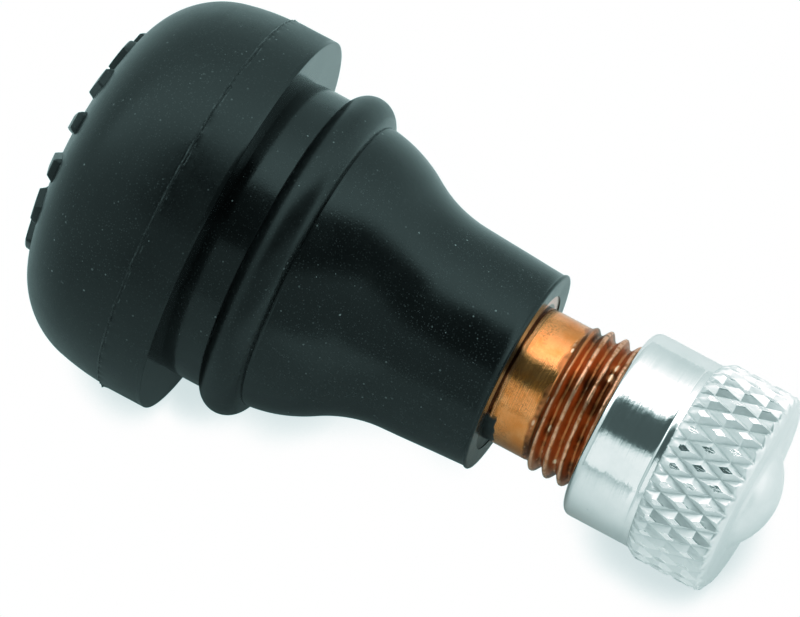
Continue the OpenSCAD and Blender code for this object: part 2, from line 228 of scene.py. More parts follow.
def turned_points(profile: np.ndarray, angle: np.ndarray, radius: np.ndarray | None = None) -> np.ndarray:
    """Turns a profile round the X axis, so that each point is (x, r cos a, r sin a).

    Args:
        profile: Array of (x, r) rows in millimetres.
        angle: Angles of the columns, in radians.
        radius: Radius of each grid point, where it isn't the profile's own.

    Returns:
        Array (rows, columns, 3) in metres.
    """
    r = np.broadcast_to(profile[:, 1:], (len(profile), len(angle))) if radius is None else radius
    x = np.broadcast_to(profile[:, :1], r.shape)
    return np.stack([x, r * np.cos(angle), r * np.sin(angle)], axis=-1) * MM


def round_angles(columns: int) -> np.ndarray:
    """Evenly spaced angles of one full turn, without the last."""
    return np.arange(columns) * (2.0 * math.pi / columns)


def shade(piece: Piece, sharp_angle: float) -> None:
    """Smooths a piece's shading, except over its sharp edges.

    Args:
        piece: The piece.
        sharp_angle: Edges that bend more than this, in degrees, stay crisp.
    """
    mesh = piece.data
    mesh.polygons.foreach_set("use_smooth", np.ones(len(mesh.polygons), dtype=bool))
    mesh.set_sharp_from_angle(angle=math.radians(sharp_angle))
    mesh.update()


# Shader building


class NodeBench:
    """Adds nodes to one node tree and joins them, with the tree's inputs given as values or sockets."""

    def __init__(self, tree: NodeTree) -> None:
        """Starts on an empty tree."""
        self.tree = tree
        tree.nodes.clear()

    def add(self, kind: str, settings: dict | None = None, **inputs: Value | Arrow) -> Node:
        """Adds a node, sets its properties and fills its inputs.

        Args:
            kind: Blender's name for the node type.
            settings: Properties of the node itself.
            inputs: Values or sockets, by input name with _ for a space, or i0, i1 for a place in the list.

        Returns:
            The new node.
        """
        node = self.tree.nodes.new(kind)
        for key, value in (settings or {}).items():
            setattr(node, key, value)
        for key, value in inputs.items():
            place = key[1:].isdigit() and key[0] == "i"
            socket = node.inputs[int(key[1:])] if place else node.inputs[key.replace("_", " ")]
            if isinstance(value, Socket):
                self.tree.links.new(value, socket)
            else:
                socket.default_value = value
        return node

    def link(self, source: Socket, node: Node, name: str) -> None:
        """Joins a socket to a node's input."""
        self.tree.links.new(source, node.inputs[name])

    def math(self, operation: str, first: Value, second: Value = 0.0, clamp: bool = False) -> Socket:
        """One step of arithmetic on two values."""
        settings = {"operation": operation, "use_clamp": clamp}
        return self.add("ShaderNodeMath", settings, i0=first, i1=second).outputs[0]

    def times(self, first: Value, second: Value) -> Socket:
        """The product of two values."""
        return self.math("MULTIPLY", first, second)

    def plus(self, first: Value, *others: Value) -> Socket:
        """The sum of two or more values."""
        for other in others:
            first = self.math("ADD", first, other)
        return first

    def minus(self, first: Value, second: Value) -> Socket:
        """The first value less the second."""
        return self.math("SUBTRACT", first, second)

    def most(self, first: Value, *others: Value) -> Socket:
        """The greatest of two or more values."""
        for other in others:
            first = self.math("MAXIMUM", first, other)
        return first

    def apart(self, first: Value, second: Value) -> Socket:
        """The distance between two values."""
        return self.math("ABSOLUTE", self.minus(first, second))

    def vector(self, operation: str, first: Arrow, second: Arrow = (0.0, 0.0, 0.0)) -> Node:
        """One step of vector arithmetic on two vectors."""
        return self.add("ShaderNodeVectorMath", {"operation": operation}, i0=first, i1=second)

    def ramp(self, value: Value, low: float, high: float, from_value: float = 0.0, to_value: float = 1.0,
             smooth: bool = True) -> Socket:
        """Maps one range of a value to another, and holds the ends.

        Args:
            value: The value to map.
            low: Value that gives from_value.
            high: Value that gives to_value.
            from_value: Result at the low end.
            to_value: Result at the high end.
            smooth: Whether the change eases in and out.

        Returns:
            The mapped value.
        """
        settings = {"interpolation_type": "SMOOTHSTEP" if smooth else "LINEAR", "clamp": True}
        node = self.add("ShaderNodeMapRange", settings, i0=value, i1=low, i2=high, i3=from_value, i4=to_value)
        return node.outputs[0]

    def mix(self, share: Value, first: Arrow, second: Arrow) -> Socket:
        """Mixes two colours, from the first at a share of 0 to the second at 1."""
        first, second = ((*c, 1.0) if isinstance(c, tuple) else c for c in (first, second))
        return self.add("ShaderNodeMix", {"data_type": "RGBA"}, i0=share, i6=first, i7=second).outputs[2]

    def noise(self, where: Socket, scale: float, detail: float = 2.0, rough: float = 0.5) -> Socket:
        """Value noise of one scale, in features for each metre."""
        settings = {"Vector": where, "Scale": scale, "Detail": detail, "Roughness": rough}
        return self.add("ShaderNodeTexNoise", None, **settings).outputs["Fac"]

    def waver(self, where: Socket, scale: float, reach: float) -> Socket:
        """Noise about zero: reach times (noise - 0.5)."""
        return self.times(self.minus(self.noise(where, scale, 3.0), 0.5), reach)

    def bump(self, shader: Node, height: Socket, normal: Socket | None = None) -> None:
        """Bumps a shader's surface.

        Args:
            shader: The Principled shader.
            height: Height of the bumps, in millimetres.
            normal: Normal that they stand on, where it isn't the surface's own.
        """
        node = self.add("ShaderNodeBump", None, Strength=1.0, Distance=MM, Height=height)
        if normal is not None:
            self.link(normal, node, "Normal")
        self.link(node.outputs[0], shader, "Normal")


def new_group(name: str, inputs: dict[str, float | None], outputs: Sequence[str]) -> NodeTree:
    """Starts a shader node group with named sockets.

    Args:
        name: Name of the group.
        inputs: Name and default value of each input. A vector has none.
        outputs: Names of the outputs, which are all plain values.

    Returns:
        The empty group.
    """
    group = bpy.data.node_groups.new(name, "ShaderNodeTree")
    for label, value in inputs.items():
        kind = "NodeSocketVector" if value is None else "NodeSocketFloat"
        socket = group.interface.new_socket(label, in_out="INPUT", socket_type=kind)
        if value is not None:
            socket.default_value = value
    for label in outputs:
        group.interface.new_socket(label, in_out="OUTPUT", socket_type="NodeSocketFloat")
    return group


@dataclass(frozen=True)
class Specks:
    """One grade of specks: cells for each metre, share of cells that hold a speck, and its size in cells."""

    scale: float
    share: float
    size: float


class SurfaceEffects:
    """Node groups for the effects that several finishes share."""

    def __init__(self) -> None:
        """Builds each group once."""
        self.specks = self._specks()
        self.turning = self._turning()
        self.mottle = self._mottle()

    @staticmethod
    def _specks() -> NodeTree:
        """Scattered round specks: cells whose random value is under a limit, each cut to a soft disc of its
        own size and strength.

        Returns:
            The group, with the output Mask.
        """
        group = new_group("specks", {"Vector": None, "Scale": 1000.0, "Share": 0.2, "Size": 0.2}, ["Mask"])
        bench = NodeBench(group)
        given = bench.add("NodeGroupInput")
        where, scale = given.outputs["Vector"], given.outputs["Scale"]
        cells = bench.add("ShaderNodeTexVoronoi", None, Vector=where, Scale=scale)
        tint = bench.add("ShaderNodeSeparateColor", None, Color=cells.outputs["Color"])
        chosen = bench.math("LESS_THAN", tint.outputs[0], given.outputs["Share"])
        size = bench.times(given.outputs["Size"], bench.plus(tint.outputs[1], 0.4))
        near = bench.math("SUBTRACT", 1.0, bench.math("DIVIDE", cells.outputs["Distance"], size), clamp=True)
        strength = bench.times(bench.plus(tint.outputs[2], 0.3), bench.ramp(near, 0.0, 0.5))
        bench.add("NodeGroupOutput", None, Mask=bench.math("MULTIPLY", chosen, strength, clamp=True))
        return group

    @staticmethod
    def _turning() -> NodeTree:
        """Marks left by a lathe: noise that is fine along the axis and long round it.

        Returns:
            The group, with the outputs Height for the fine marks and Streak for broader ones.
        """
        inputs = {"Vector": None, "Lines": 15000.0, "Round": 150.0}
        group = new_group("turning_marks", inputs, ["Height", "Streak"])
        bench = NodeBench(group)
        given = bench.add("NodeGroupInput")
        place = bench.add("ShaderNodeSeparateXYZ", None, Vector=given.outputs["Vector"])
        along = bench.times(place.outputs[0], given.outputs["Lines"])
        across = [bench.times(place.outputs[i], given.outputs["Round"]) for i in (1, 2)]
        stretched = bench.add("ShaderNodeCombineXYZ", None, X=along, Y=across[0], Z=across[1])
        fine = bench.noise(stretched.outputs[0], 1.0, detail=3.0, rough=0.6)
        broad = bench.noise(stretched.outputs[0], 0.23, detail=2.0)
        bench.add("NodeGroupOutput", None, Height=fine, Streak=broad)
        return group

    @staticmethod
    def _mottle() -> NodeTree:
        """Soft blotches: layered noise, spread to the range 0 to 1 between two limits.

        Returns:
            The group, with the output Mask.
        """
        group = new_group("mottle", {"Vector": None, "Scale": 500.0, "Low": 0.4, "High": 0.6}, ["Mask"])
        bench = NodeBench(group)
        given = bench.add("NodeGroupInput")
        blotch = bench.noise(given.outputs["Vector"], 1.0, detail=4.0, rough=0.6)
        bench.link(given.outputs["Scale"], blotch.node, "Scale")
        mapped = bench.add("ShaderNodeMapRange", {"interpolation_type": "SMOOTHSTEP"}, i0=blotch,
                           i1=given.outputs["Low"], i2=given.outputs["High"])
        bench.add("NodeGroupOutput", None, Mask=mapped.outputs[0])
        return group

    def speckle(self, bench: NodeBench, where: Socket, grade: Specks) -> Socket:
        """Places specks of one grade in a material."""
        node = bench.add("ShaderNodeGroup", {"node_tree": self.specks}, Vector=where, Scale=grade.scale,
                         Share=grade.share, Size=grade.size)
        return node.outputs["Mask"]

    def blotches(self, bench: NodeBench, where: Socket, scale: float, low: float, high: float) -> Socket:
        """Places soft blotches of one scale in a material, between two limits of their noise."""
        settings = {"node_tree": self.mottle}
        node = bench.add("ShaderNodeGroup", settings, Vector=where, Scale=scale, Low=low, High=high)
        return node.outputs["Mask"]

    def lathe(self, bench: NodeBench, where: Socket, lines: float, turns: float) -> Node:
        """Places lathe marks in a material, with a scale along the axis and one round it."""
        settings = {"node_tree": self.turning}
        return bench.add("ShaderNodeGroup", settings, Vector=where, Lines=lines, Round=turns)


def start_material(name: str) -> tuple[Material, NodeBench, Node, Socket]:
    """Makes a material with a Principled shader.

    Args:
        name: Name of the material.

    Returns:
        The material, its bench, the shader node and the Object coordinates.
    """
    material = bpy.data.materials.new(name)
    material.use_nodes = True
    bench = NodeBench(material.node_tree)
    shader = bench.add("ShaderNodeBsdfPrincipled")
    bench.add("ShaderNodeOutputMaterial", None, Surface=shader.outputs["BSDF"])
    where = bench.add("ShaderNodeTexCoord").outputs["Object"]
    return material, bench, shader, where


def axis_radius(bench: NodeBench, where: Socket) -> tuple[Socket, Socket]:
    """Splits a place into its distance along the valve's axis and its distance from that axis.

    Args:
        bench: Bench of the material.
        where: Object coordinates.

    Returns:
        Both distances, in millimetres.
    """
    place = bench.vector("SCALE", where)
    place.inputs["Scale"].default_value = 1.0 / MM
    parts = bench.add("ShaderNodeSeparateXYZ", None, Vector=place.outputs[0])
    flat = bench.vector("MULTIPLY", place.outputs[0], (0.0, 1.0, 1.0))
    return parts.outputs[0], bench.vector("LENGTH", flat.outputs[0]).outputs["Value"]


def swept_normal(bench: NodeBench, streak: Socket, reach: float) -> Socket:
    """Leans the surface's normal round the valve's axis by a streak, as polishing on a lathe leaves it.

    Args:
        bench: Bench of the material.
        streak: Value about 0.5 that changes over the surface.
        reach: Lean, as a share of the normal, for a streak of 1 more.

    Returns:
        The leaned normal, made unit long: the normal plus the round direction times reach times
        (streak - 0.5).
    """
    normal = bench.add("ShaderNodeNewGeometry").outputs["Normal"]
    round_way = bench.vector("CROSS_PRODUCT", (1.0, 0.0, 0.0), normal)
    lean = bench.vector("SCALE", round_way.outputs[0])
    amount = bench.times(bench.minus(streak, 0.5), reach)
    bench.link(amount, lean, "Scale")
    leaned = bench.vector("ADD", normal, lean.outputs[0])
    return bench.vector("NORMALIZE", leaned.outputs[0]).outputs[0]


@dataclass(frozen=True)
class RubberFinish:
    """Moulded black rubber: matte on the head and bead, glossier in the rim groove and on the sleeve, with
    pale dust, a few hairs and a torn parting line."""

    rubber: "RubberBody"
    name: str = "moulded_rubber"
    dark: Colour = (0.0036, 0.0037, 0.0038)
    light: Colour = (0.0058, 0.0060, 0.0061)
    dust: Colour = (0.24, 0.245, 0.245)
    scar: Colour = (0.0012, 0.0012, 0.0012)
    seat_roughness: float = 0.18
    groove_roughness: float = 0.16
    sleeve_roughness: float = 0.22
    matte_roughness: float = 0.31
    dust_roughness: float = 0.3
    specular_level: float = 0.4
    seam_half: float = 0.045
    flash_gap: float = 0.10
    bead_end_x: float = 4.37
    bead_foot_r: Span = (7.86, 8.10)
    powder: Specks = Specks(9400.0, 0.85, 0.36)
    specks: Specks = Specks(3200.0, 0.18, 0.18)
    crumbs: Specks = Specks(1300.0, 0.75, 0.075)
    hairs: Specks = Specks(700.0, 0.16, 0.03)
    powder_level: Span = (0.06, 0.15)
    speck_level: Span = (0.22, 0.55)
    hair_level: float = 0.5
    hair_turn: Triple = (0.5, 0.9, 0.4)
    hair_stretch: Triple = (0.12, 1.0, 1.0)
    grain_h: float = 0.0035
    ring_h: float = 0.004
    wave_h: float = 0.02
    dust_h: float = 0.010
    scar_depth: float = 0.03

    def dirt(self, bench: NodeBench, effects: SurfaceEffects, where: Socket) -> Socket:
        """Share of pale dust: a faint powder and some specks, both in drifts, a few crumbs and short hairs.

        Args:
            bench: Bench of the material.
            effects: The shared node groups.
            where: Object coordinates.

        Returns:
            The greatest share that any of the grades gives.
        """
        drift = effects.blotches(bench, where, 170.0, 0.36, 0.62)
        faint = bench.ramp(drift, 0.0, 1.0, *self.powder_level)
        clear = bench.ramp(drift, 0.0, 1.0, *self.speck_level)
        powder = bench.times(effects.speckle(bench, where, self.powder), faint)
        specks = bench.times(effects.speckle(bench, where, self.specks), clear)
        crumbs = effects.speckle(bench, where, self.crumbs)
        drawn = bench.add("ShaderNodeMapping", None, Vector=where, Rotation=self.hair_turn,
                          Scale=self.hair_stretch)
        hairs = bench.times(effects.speckle(bench, drawn.outputs[0], self.hairs), self.hair_level)
        return bench.most(powder, specks, crumbs, hairs)

    def parting(self, bench: NodeBench, where: Socket, x: Socket) -> tuple[Socket, Socket]:
        """Marks of the mould: a thin torn line where its halves met, with pale flash beside it, and a fine
        edge line at the bead.

        Args:
            bench: Bench of the material.
            where: Object coordinates.
            x: Place along the axis, in millimetres.

        Returns:
            Share of the dark line and share of the pale flash.
        """
        wander = bench.waver(where, 700.0, 0.20)
        offset = bench.math("ABSOLUTE", bench.plus(x, self.rubber.flange_land, wander))
        torn = bench.ramp(bench.noise(where, 2600.0, 4.0, 0.7), 0.46, 0.54)
        beads = bench.ramp(bench.noise(where, 1500.0), 0.54, 0.62, 1.0, 0.45)
        thin = bench.ramp(bench.times(offset, beads), self.seam_half * 0.5, self.seam_half * 1.5, 1.0, 0.0)
        dashes = bench.ramp(bench.noise(where, 2900.0, 4.0, 0.7), 0.50, 0.62, 0.0, 0.22)
        flash = bench.times(bench.ramp(bench.apart(offset, self.flash_gap), 0.012, 0.05, 1.0, 0.0), dashes)
        shown = bench.ramp(bench.noise(where, 640.0), 0.36, 0.60, 0.0, 0.09)
        edge = bench.times(bench.ramp(bench.apart(x, self.bead_end_x), 0.012, 0.055, 1.0, 0.0), shown)
        return bench.times(thin, torn), bench.most(flash, edge)

    def material(self, effects: SurfaceEffects) -> Material:
        """Builds the material, with its gloss changing along the moulding.

        Args:
            effects: The shared node groups.

        Returns:
            The finished material.
        """
        material, bench, shader, where = start_material(self.name)
        x, r = axis_radius(bench, where)
        blotch = effects.blotches(bench, where, 420.0, 0.35, 0.68)
        seat = bench.times(bench.ramp(x, -0.04, -0.02), bench.ramp(x, 0.02, 0.04, 1.0, 0.0))
        open_skin = bench.minus(1.0, seat)
        dust = bench.times(self.dirt(bench, effects, where), open_skin)
        seam, flash = self.parting(bench, where, x)
        pale = bench.most(dust, flash)
        base = bench.mix(seam, bench.mix(blotch, self.dark, self.light), self.scar)
        bench.link(bench.mix(pale, base, self.dust), shader, "Base Color")
        shader.inputs["Specular IOR Level"].default_value = self.specular_level
        head = bench.ramp(x, -0.30, -0.05, 1.0, 0.0)
        bead = bench.times(bench.ramp(r, *self.bead_foot_r), bench.ramp(x, 1.2, 1.6))
        matte = bench.most(head, bead)
        gloss = bench.ramp(x, 2.0, 3.2, self.groove_roughness, self.sleeve_roughness)
        gloss = bench.times(gloss, bench.minus(1.0, matte))
        grain = bench.noise(where, 9000.0, 3.0, 0.6)
        rough = bench.plus(gloss, bench.times(matte, self.matte_roughness),
                           bench.ramp(blotch, 0.0, 1.0, -0.02, 0.03, smooth=False),
                           bench.ramp(grain, 0.3, 0.7, -0.03, 0.03, smooth=False),
                           bench.times(dust, self.dust_roughness))
        rough = bench.plus(bench.times(rough, open_skin), bench.times(seat, self.seat_roughness))
        bench.link(rough, shader, "Roughness")
        marks = effects.lathe(bench, where, 4200.0, 60.0)
        rings = bench.times(bench.times(marks.outputs["Height"], head), self.ring_h)
        wave = bench.times(bench.noise(where, 330.0, 1.0), self.wave_h)
        height = bench.plus(bench.times(grain, self.grain_h), wave, rings, bench.times(pale, self.dust_h))
        bench.bump(shader, bench.minus(height, bench.times(seam, self.scar_depth)))
        return material


@dataclass(frozen=True)
class StemFinish:
    """Copper-coloured turned brass: bright on the shank, brown and stained in the thread with painted glints
    and paler worn crests that are partly painted highlight, a dark ring of painted shade at the rubber's
    mouth and a dark patch on one side next to it."""

    stem: "BrassStem"
    mouth_x: float
    name: str = "stem_brass"
    bright: Colour = (0.96, 0.395, 0.138)
    warm: Colour = (0.88, 0.29, 0.070)
    flank: Colour = (0.60, 0.19, 0.065)
    stain: Colour = (0.13, 0.038, 0.016)
    # crest colour: paler crests, partly wear and partly painted highlight; also the pale line past the mouth
    crest: Colour = (0.86, 0.45, 0.28)
    # painted glints: the glint colour and the glints specks stand for highlights in the thread
    glint: Colour = (0.97, 0.72, 0.50)
    collar: Colour = (0.80, 0.50, 0.42)
    dull: Colour = (0.30, 0.27, 0.19)
    dark_patch: Colour = (0.006, 0.006, 0.006)
    glints: Specks = Specks(1400.0, 0.72, 0.33)
    shank_roughness: float = 0.15
    thread_roughness: float = 0.33
    stain_roughness: float = 0.05
    dark_patch_roughness: float = 0.2
    mark_h: float = 0.006
    pit_h: float = 0.004
    dark_patch_h: float = 0.03
    sweep: float = 0.08

    def thread_colour(self, bench: NodeBench, effects: SurfaceEffects, where: Socket, r: Socket) -> Socket:
        """Colour of the thread: brown flanks, stained roots with painted glints, and paler crests, partly
        worn and partly a painted highlight.

        Args:
            bench: Bench of the material.
            effects: The shared node groups.
            where: Object coordinates.
            r: Distance from the axis, in millimetres.

        Returns:
            The colour.
        """
        blotch = effects.blotches(bench, where, 650.0, 0.44, 0.64)
        crest_r = self.stem.thread_r
        root_r = crest_r - self.stem.thread_depth
        root = bench.ramp(r, root_r + 0.03, root_r + 0.23, 1.0, 0.0)
        # paler crest line: partly wear, partly painted highlight, broken up by noise
        wear_and_highlight = bench.ramp(bench.noise(where, 2600.0, 3.0), 0.36, 0.56, 0.15, 1.0)
        top = bench.times(bench.ramp(r, crest_r - 0.10, crest_r - 0.03), wear_and_highlight)
        dark = bench.ramp(bench.noise(where, 420.0, 4.0, 0.6), 0.54, 0.66, 0.0, 0.8)
        colour = bench.mix(bench.times(root, blotch), self.flank, self.stain)
        colour = bench.mix(dark, colour, self.stain)
        colour = bench.mix(top, colour, self.crest)
        # painted glints: bright specks in the thread's roots, standing for highlights
        short = bench.add("ShaderNodeMapping", None, Vector=where, Scale=(2.4, 1.0, 1.0))
        glint = effects.speckle(bench, short.outputs[0], self.glints)
        return bench.mix(bench.times(glint, bench.ramp(root, 0.15, 0.6)), colour, self.glint)

    def mouth_colour(self, bench: NodeBench, base: Socket, where: Socket, x: Socket, r: Socket) -> Socket:
        """Adds the collar's dull pink face, a painted shade ring in its corner and two fine lines past it.

        Args:
            bench: Bench of the material.
            base: Colour of the bare shank.
            where: Object coordinates.
            x: Place along the axis, in millimetres.
            r: Distance from the axis, in millimetres.

        Returns:
            The colour with the ring and lines.
        """
        past = bench.plus(bench.minus(x, self.mouth_x), bench.waver(where, 900.0, 0.18))
        grey = bench.ramp(bench.apart(past, 0.25), 0.015, 0.06, 0.22, 0.0)
        pale = bench.ramp(bench.apart(past, 0.15), 0.01, 0.05, 0.5, 0.0)
        base = bench.mix(grey, base, self.dull)
        base = bench.mix(pale, base, self.crest)
        # painted shade: a dark ring in the stain colour, in the corner under the rubber's lip
        base = bench.mix(bench.ramp(past, 0.04, 0.11, 1.0, 0.0), base, self.stain)
        face = bench.times(bench.ramp(x, self.mouth_x + 0.02, self.mouth_x + 0.06, 1.0, 0.0),
                           bench.ramp(r, self.stem.shank_r + 0.12, self.stem.shank_r + 0.2))
        return bench.mix(face, base, self.collar)

    def dark_patch_share(self, bench: NodeBench, where: Socket, x: Socket, low_side: Vector) -> Socket:
        """Share of the dark patch: a ragged, dark, non-metal patch on one side of the shank, next to the
        mouth.

        Args:
            bench: Bench of the material.
            where: Object coordinates.
            x: Place along the axis, in millimetres.
            low_side: Direction across the axis in which the patch lies.

        Returns:
            1 on the patch and 0 on bare metal.
        """
        side = bench.vector("DOT_PRODUCT", where, tuple(low_side)).outputs["Value"]
        ragged = bench.waver(where, 640.0, 1.0)
        side = bench.plus(bench.times(side, 1.0 / MM / self.stem.shank_r), bench.times(ragged, 0.5))
        reach = bench.plus(bench.minus(x, self.mouth_x), bench.times(ragged, 1.2))
        return bench.times(bench.ramp(reach, 0.50, 0.58, 1.0, 0.0), bench.ramp(side, 0.66, 0.74))

    def material(self, effects: SurfaceEffects, low_side: Vector) -> Material:
        """Builds the material.

        Args:
            effects: The shared node groups.
            low_side: Direction across the axis in which the dark patch lies on the shank.

        Returns:
            The finished material.
        """
        material, bench, shader, where = start_material(self.name)
        x, r = axis_radius(bench, where)
        blotch = effects.blotches(bench, where, 620.0, 0.40, 0.66)
        marks = effects.lathe(bench, where, 22000.0, 260.0)
        tarnish = bench.times(bench.ramp(bench.noise(where, 9000.0), 0.50, 0.64, 0.0, 0.55),
                              bench.ramp(bench.noise(where, 700.0, 3.0), 0.40, 0.60))
        base = bench.mix(tarnish, bench.mix(blotch, self.bright, self.warm), self.flank)
        base = self.mouth_colour(bench, base, where, x, r)
        on_thread = bench.plus(bench.minus(x, self.stem.thread_x), bench.waver(where, 800.0, 0.7))
        on_thread = bench.ramp(on_thread, -0.16, 0.04)
        base = bench.mix(on_thread, base, self.thread_colour(bench, effects, where, r))
        # dark patch: dark, non-metal and slightly raised, on the shank's low side next to the mouth
        dark_patch = self.dark_patch_share(bench, where, x, low_side)
        bench.link(bench.mix(dark_patch, base, self.dark_patch), shader, "Base Color")
        bench.link(bench.minus(1.0, dark_patch), shader, "Metallic")
        plain = bench.ramp(on_thread, 0.0, 1.0, self.shank_roughness, self.thread_roughness, smooth=False)
        rough = bench.plus(plain, bench.times(blotch, self.stain_roughness),
                           bench.times(dark_patch, self.dark_patch_roughness),
                           bench.ramp(marks.outputs["Streak"], 0.3, 0.7, -0.04, 0.06))
        bench.link(rough, shader, "Roughness")
        height = bench.plus(bench.times(marks.outputs["Height"], self.mark_h),
                            bench.times(bench.noise(where, 5200.0, 3.0, 0.6), self.pit_h),
                            bench.times(dark_patch, self.dark_patch_h))
        bench.bump(shader, height, swept_normal(bench, marks.outputs["Height"], self.sweep))
        return material


@dataclass(frozen=True)
class CapFinish:
    """Bright turned metal: polished skirt, rolled knurl with drag lines and a satin end."""

    cap: "DomeCap"
    name: str = "cap_metal"
    bright: Colour = (0.955, 0.96, 0.96)
    dull: Colour = (0.91, 0.915, 0.915)
    grime: Colour = (0.42, 0.43, 0.43)
    pits: Specks = Specks(1300.0, 0.10, 0.07)
    grime_level: float = 0.15
    pit_level: float = 0.5
    skirt_roughness: float = 0.12
    knurl_roughness: float = 0.47
    top_roughness: float = 0.12
    end_roughness: float = 0.36
    mark_h: float = 0.0025
    drag_h: float = 0.026
    grain_h: float = 0.003
    sweep: float = 0.12

    def material(self, effects: SurfaceEffects) -> Material:
        """Builds the material, with its finish changing along the cap.

        Args:
            effects: The shared node groups.

        Returns:
            The finished material.
        """
        material, bench, shader, where = start_material(self.name)
        x, r = axis_radius(bench, where)
        blotch = effects.blotches(bench, where, 700.0, 0.35, 0.7)
        marks = effects.lathe(bench, where, 17000.0, 330.0)
        drag = effects.lathe(bench, where, 1500.0, 9000.0)
        knurl_x, end_x, top_r = self.cap.knurl_x, self.cap.end_x, self.cap.knurl_r
        root_r = top_r - self.cap.knurl_depth
        on_skirt = bench.ramp(x, knurl_x - 0.05, knurl_x + 0.1, 1.0, 0.0)
        off_skirt = bench.minus(1.0, on_skirt)
        on_end = bench.ramp(x, end_x - 0.35, end_x - 0.15)
        on_knurl = bench.times(off_skirt, bench.minus(1.0, on_end))
        low = bench.ramp(r, root_r + 0.01, root_r + 0.07, 1.0, 0.0)
        dirt = bench.times(bench.times(on_knurl, low), self.grime_level)
        pits = bench.times(effects.speckle(bench, where, self.pits), self.pit_level)
        base = bench.mix(bench.most(dirt, pits), bench.mix(blotch, self.bright, self.dull), self.grime)
        bench.link(base, shader, "Base Color")
        shader.inputs["Metallic"].default_value = 1.0
        flats = bench.ramp(r, top_r - 0.03, top_r - 0.01, self.knurl_roughness, self.top_roughness)
        rough = bench.plus(bench.times(flats, on_knurl), bench.times(on_skirt, self.skirt_roughness),
                           bench.times(on_end, self.end_roughness),
                           bench.ramp(marks.outputs["Streak"], 0.3, 0.7, -0.02, 0.03))
        bench.link(rough, shader, "Roughness")
        height = bench.plus(bench.times(marks.outputs["Height"], self.mark_h),
                            bench.times(bench.times(drag.outputs["Height"], on_knurl), self.drag_h),
                            bench.times(bench.noise(where, 6000.0, 3.0), self.grain_h))
        streak = bench.plus(bench.times(marks.outputs["Height"], on_skirt), bench.times(off_skirt, 0.5))
        bench.bump(shader, height, swept_normal(bench, streak, self.sweep))
        return material


@dataclass(frozen=True)
class CoreMetalFinish:
    """Plain turned metal of a core piece, with fine lathe marks and faint stains."""

    name: str
    bright: Colour
    stain: Colour
    roughness: float = 0.25
    mark_h: float = 0.006

    def material(self, effects: SurfaceEffects) -> Material:
        """Builds the material.

        Args:
            effects: The shared node groups.

        Returns:
            The finished material.
        """
        material, bench, shader, where = start_material(self.name)
        blotch = effects.blotches(bench, where, 1400.0, 0.4, 0.68)
        marks = effects.lathe(bench, where, 24000.0, 300.0)
        bench.link(bench.mix(blotch, self.bright, self.stain), shader, "Base Color")
        shader.inputs["Metallic"].default_value = 1.0
        rough = bench.ramp(marks.outputs["Streak"], 0.3, 0.7, self.roughness - 0.05, self.roughness + 0.1)
        bench.link(rough, shader, "Roughness")
        bench.bump(shader, bench.times(marks.outputs["Height"], self.mark_h))
        return material


@dataclass(frozen=True)
class SealFinish:
    """Soft sealing rubber with a fine bloom and a few specks."""

    name: str
    dark: Colour
    light: Colour
    roughness: float = 0.55
    bloom: Specks = Specks(3000.0, 0.06, 0.2)
    grain_h: float = 0.01

    def material(self, effects: SurfaceEffects) -> Material:
        """Builds the material.

        Args:
            effects: The shared node groups.

        Returns:
            The finished material.
        """
        material, bench, shader, where = start_material(self.name)
        blotch = effects.blotches(bench, where, 1600.0, 0.35, 0.7)
        pale = bench.most(blotch, effects.speckle(bench, where, self.bloom))
        base = bench.mix(pale, self.dark, self.light)
        bench.link(base, shader, "Base Color")
        rough = bench.ramp(blotch, 0.0, 1.0, self.roughness - 0.06, self.roughness + 0.08)
        bench.link(rough, shader, "Roughness")
        bench.bump(shader, bench.times(bench.noise(where, 9000.0, 3.0), self.grain_h))
        return material


# The pieces


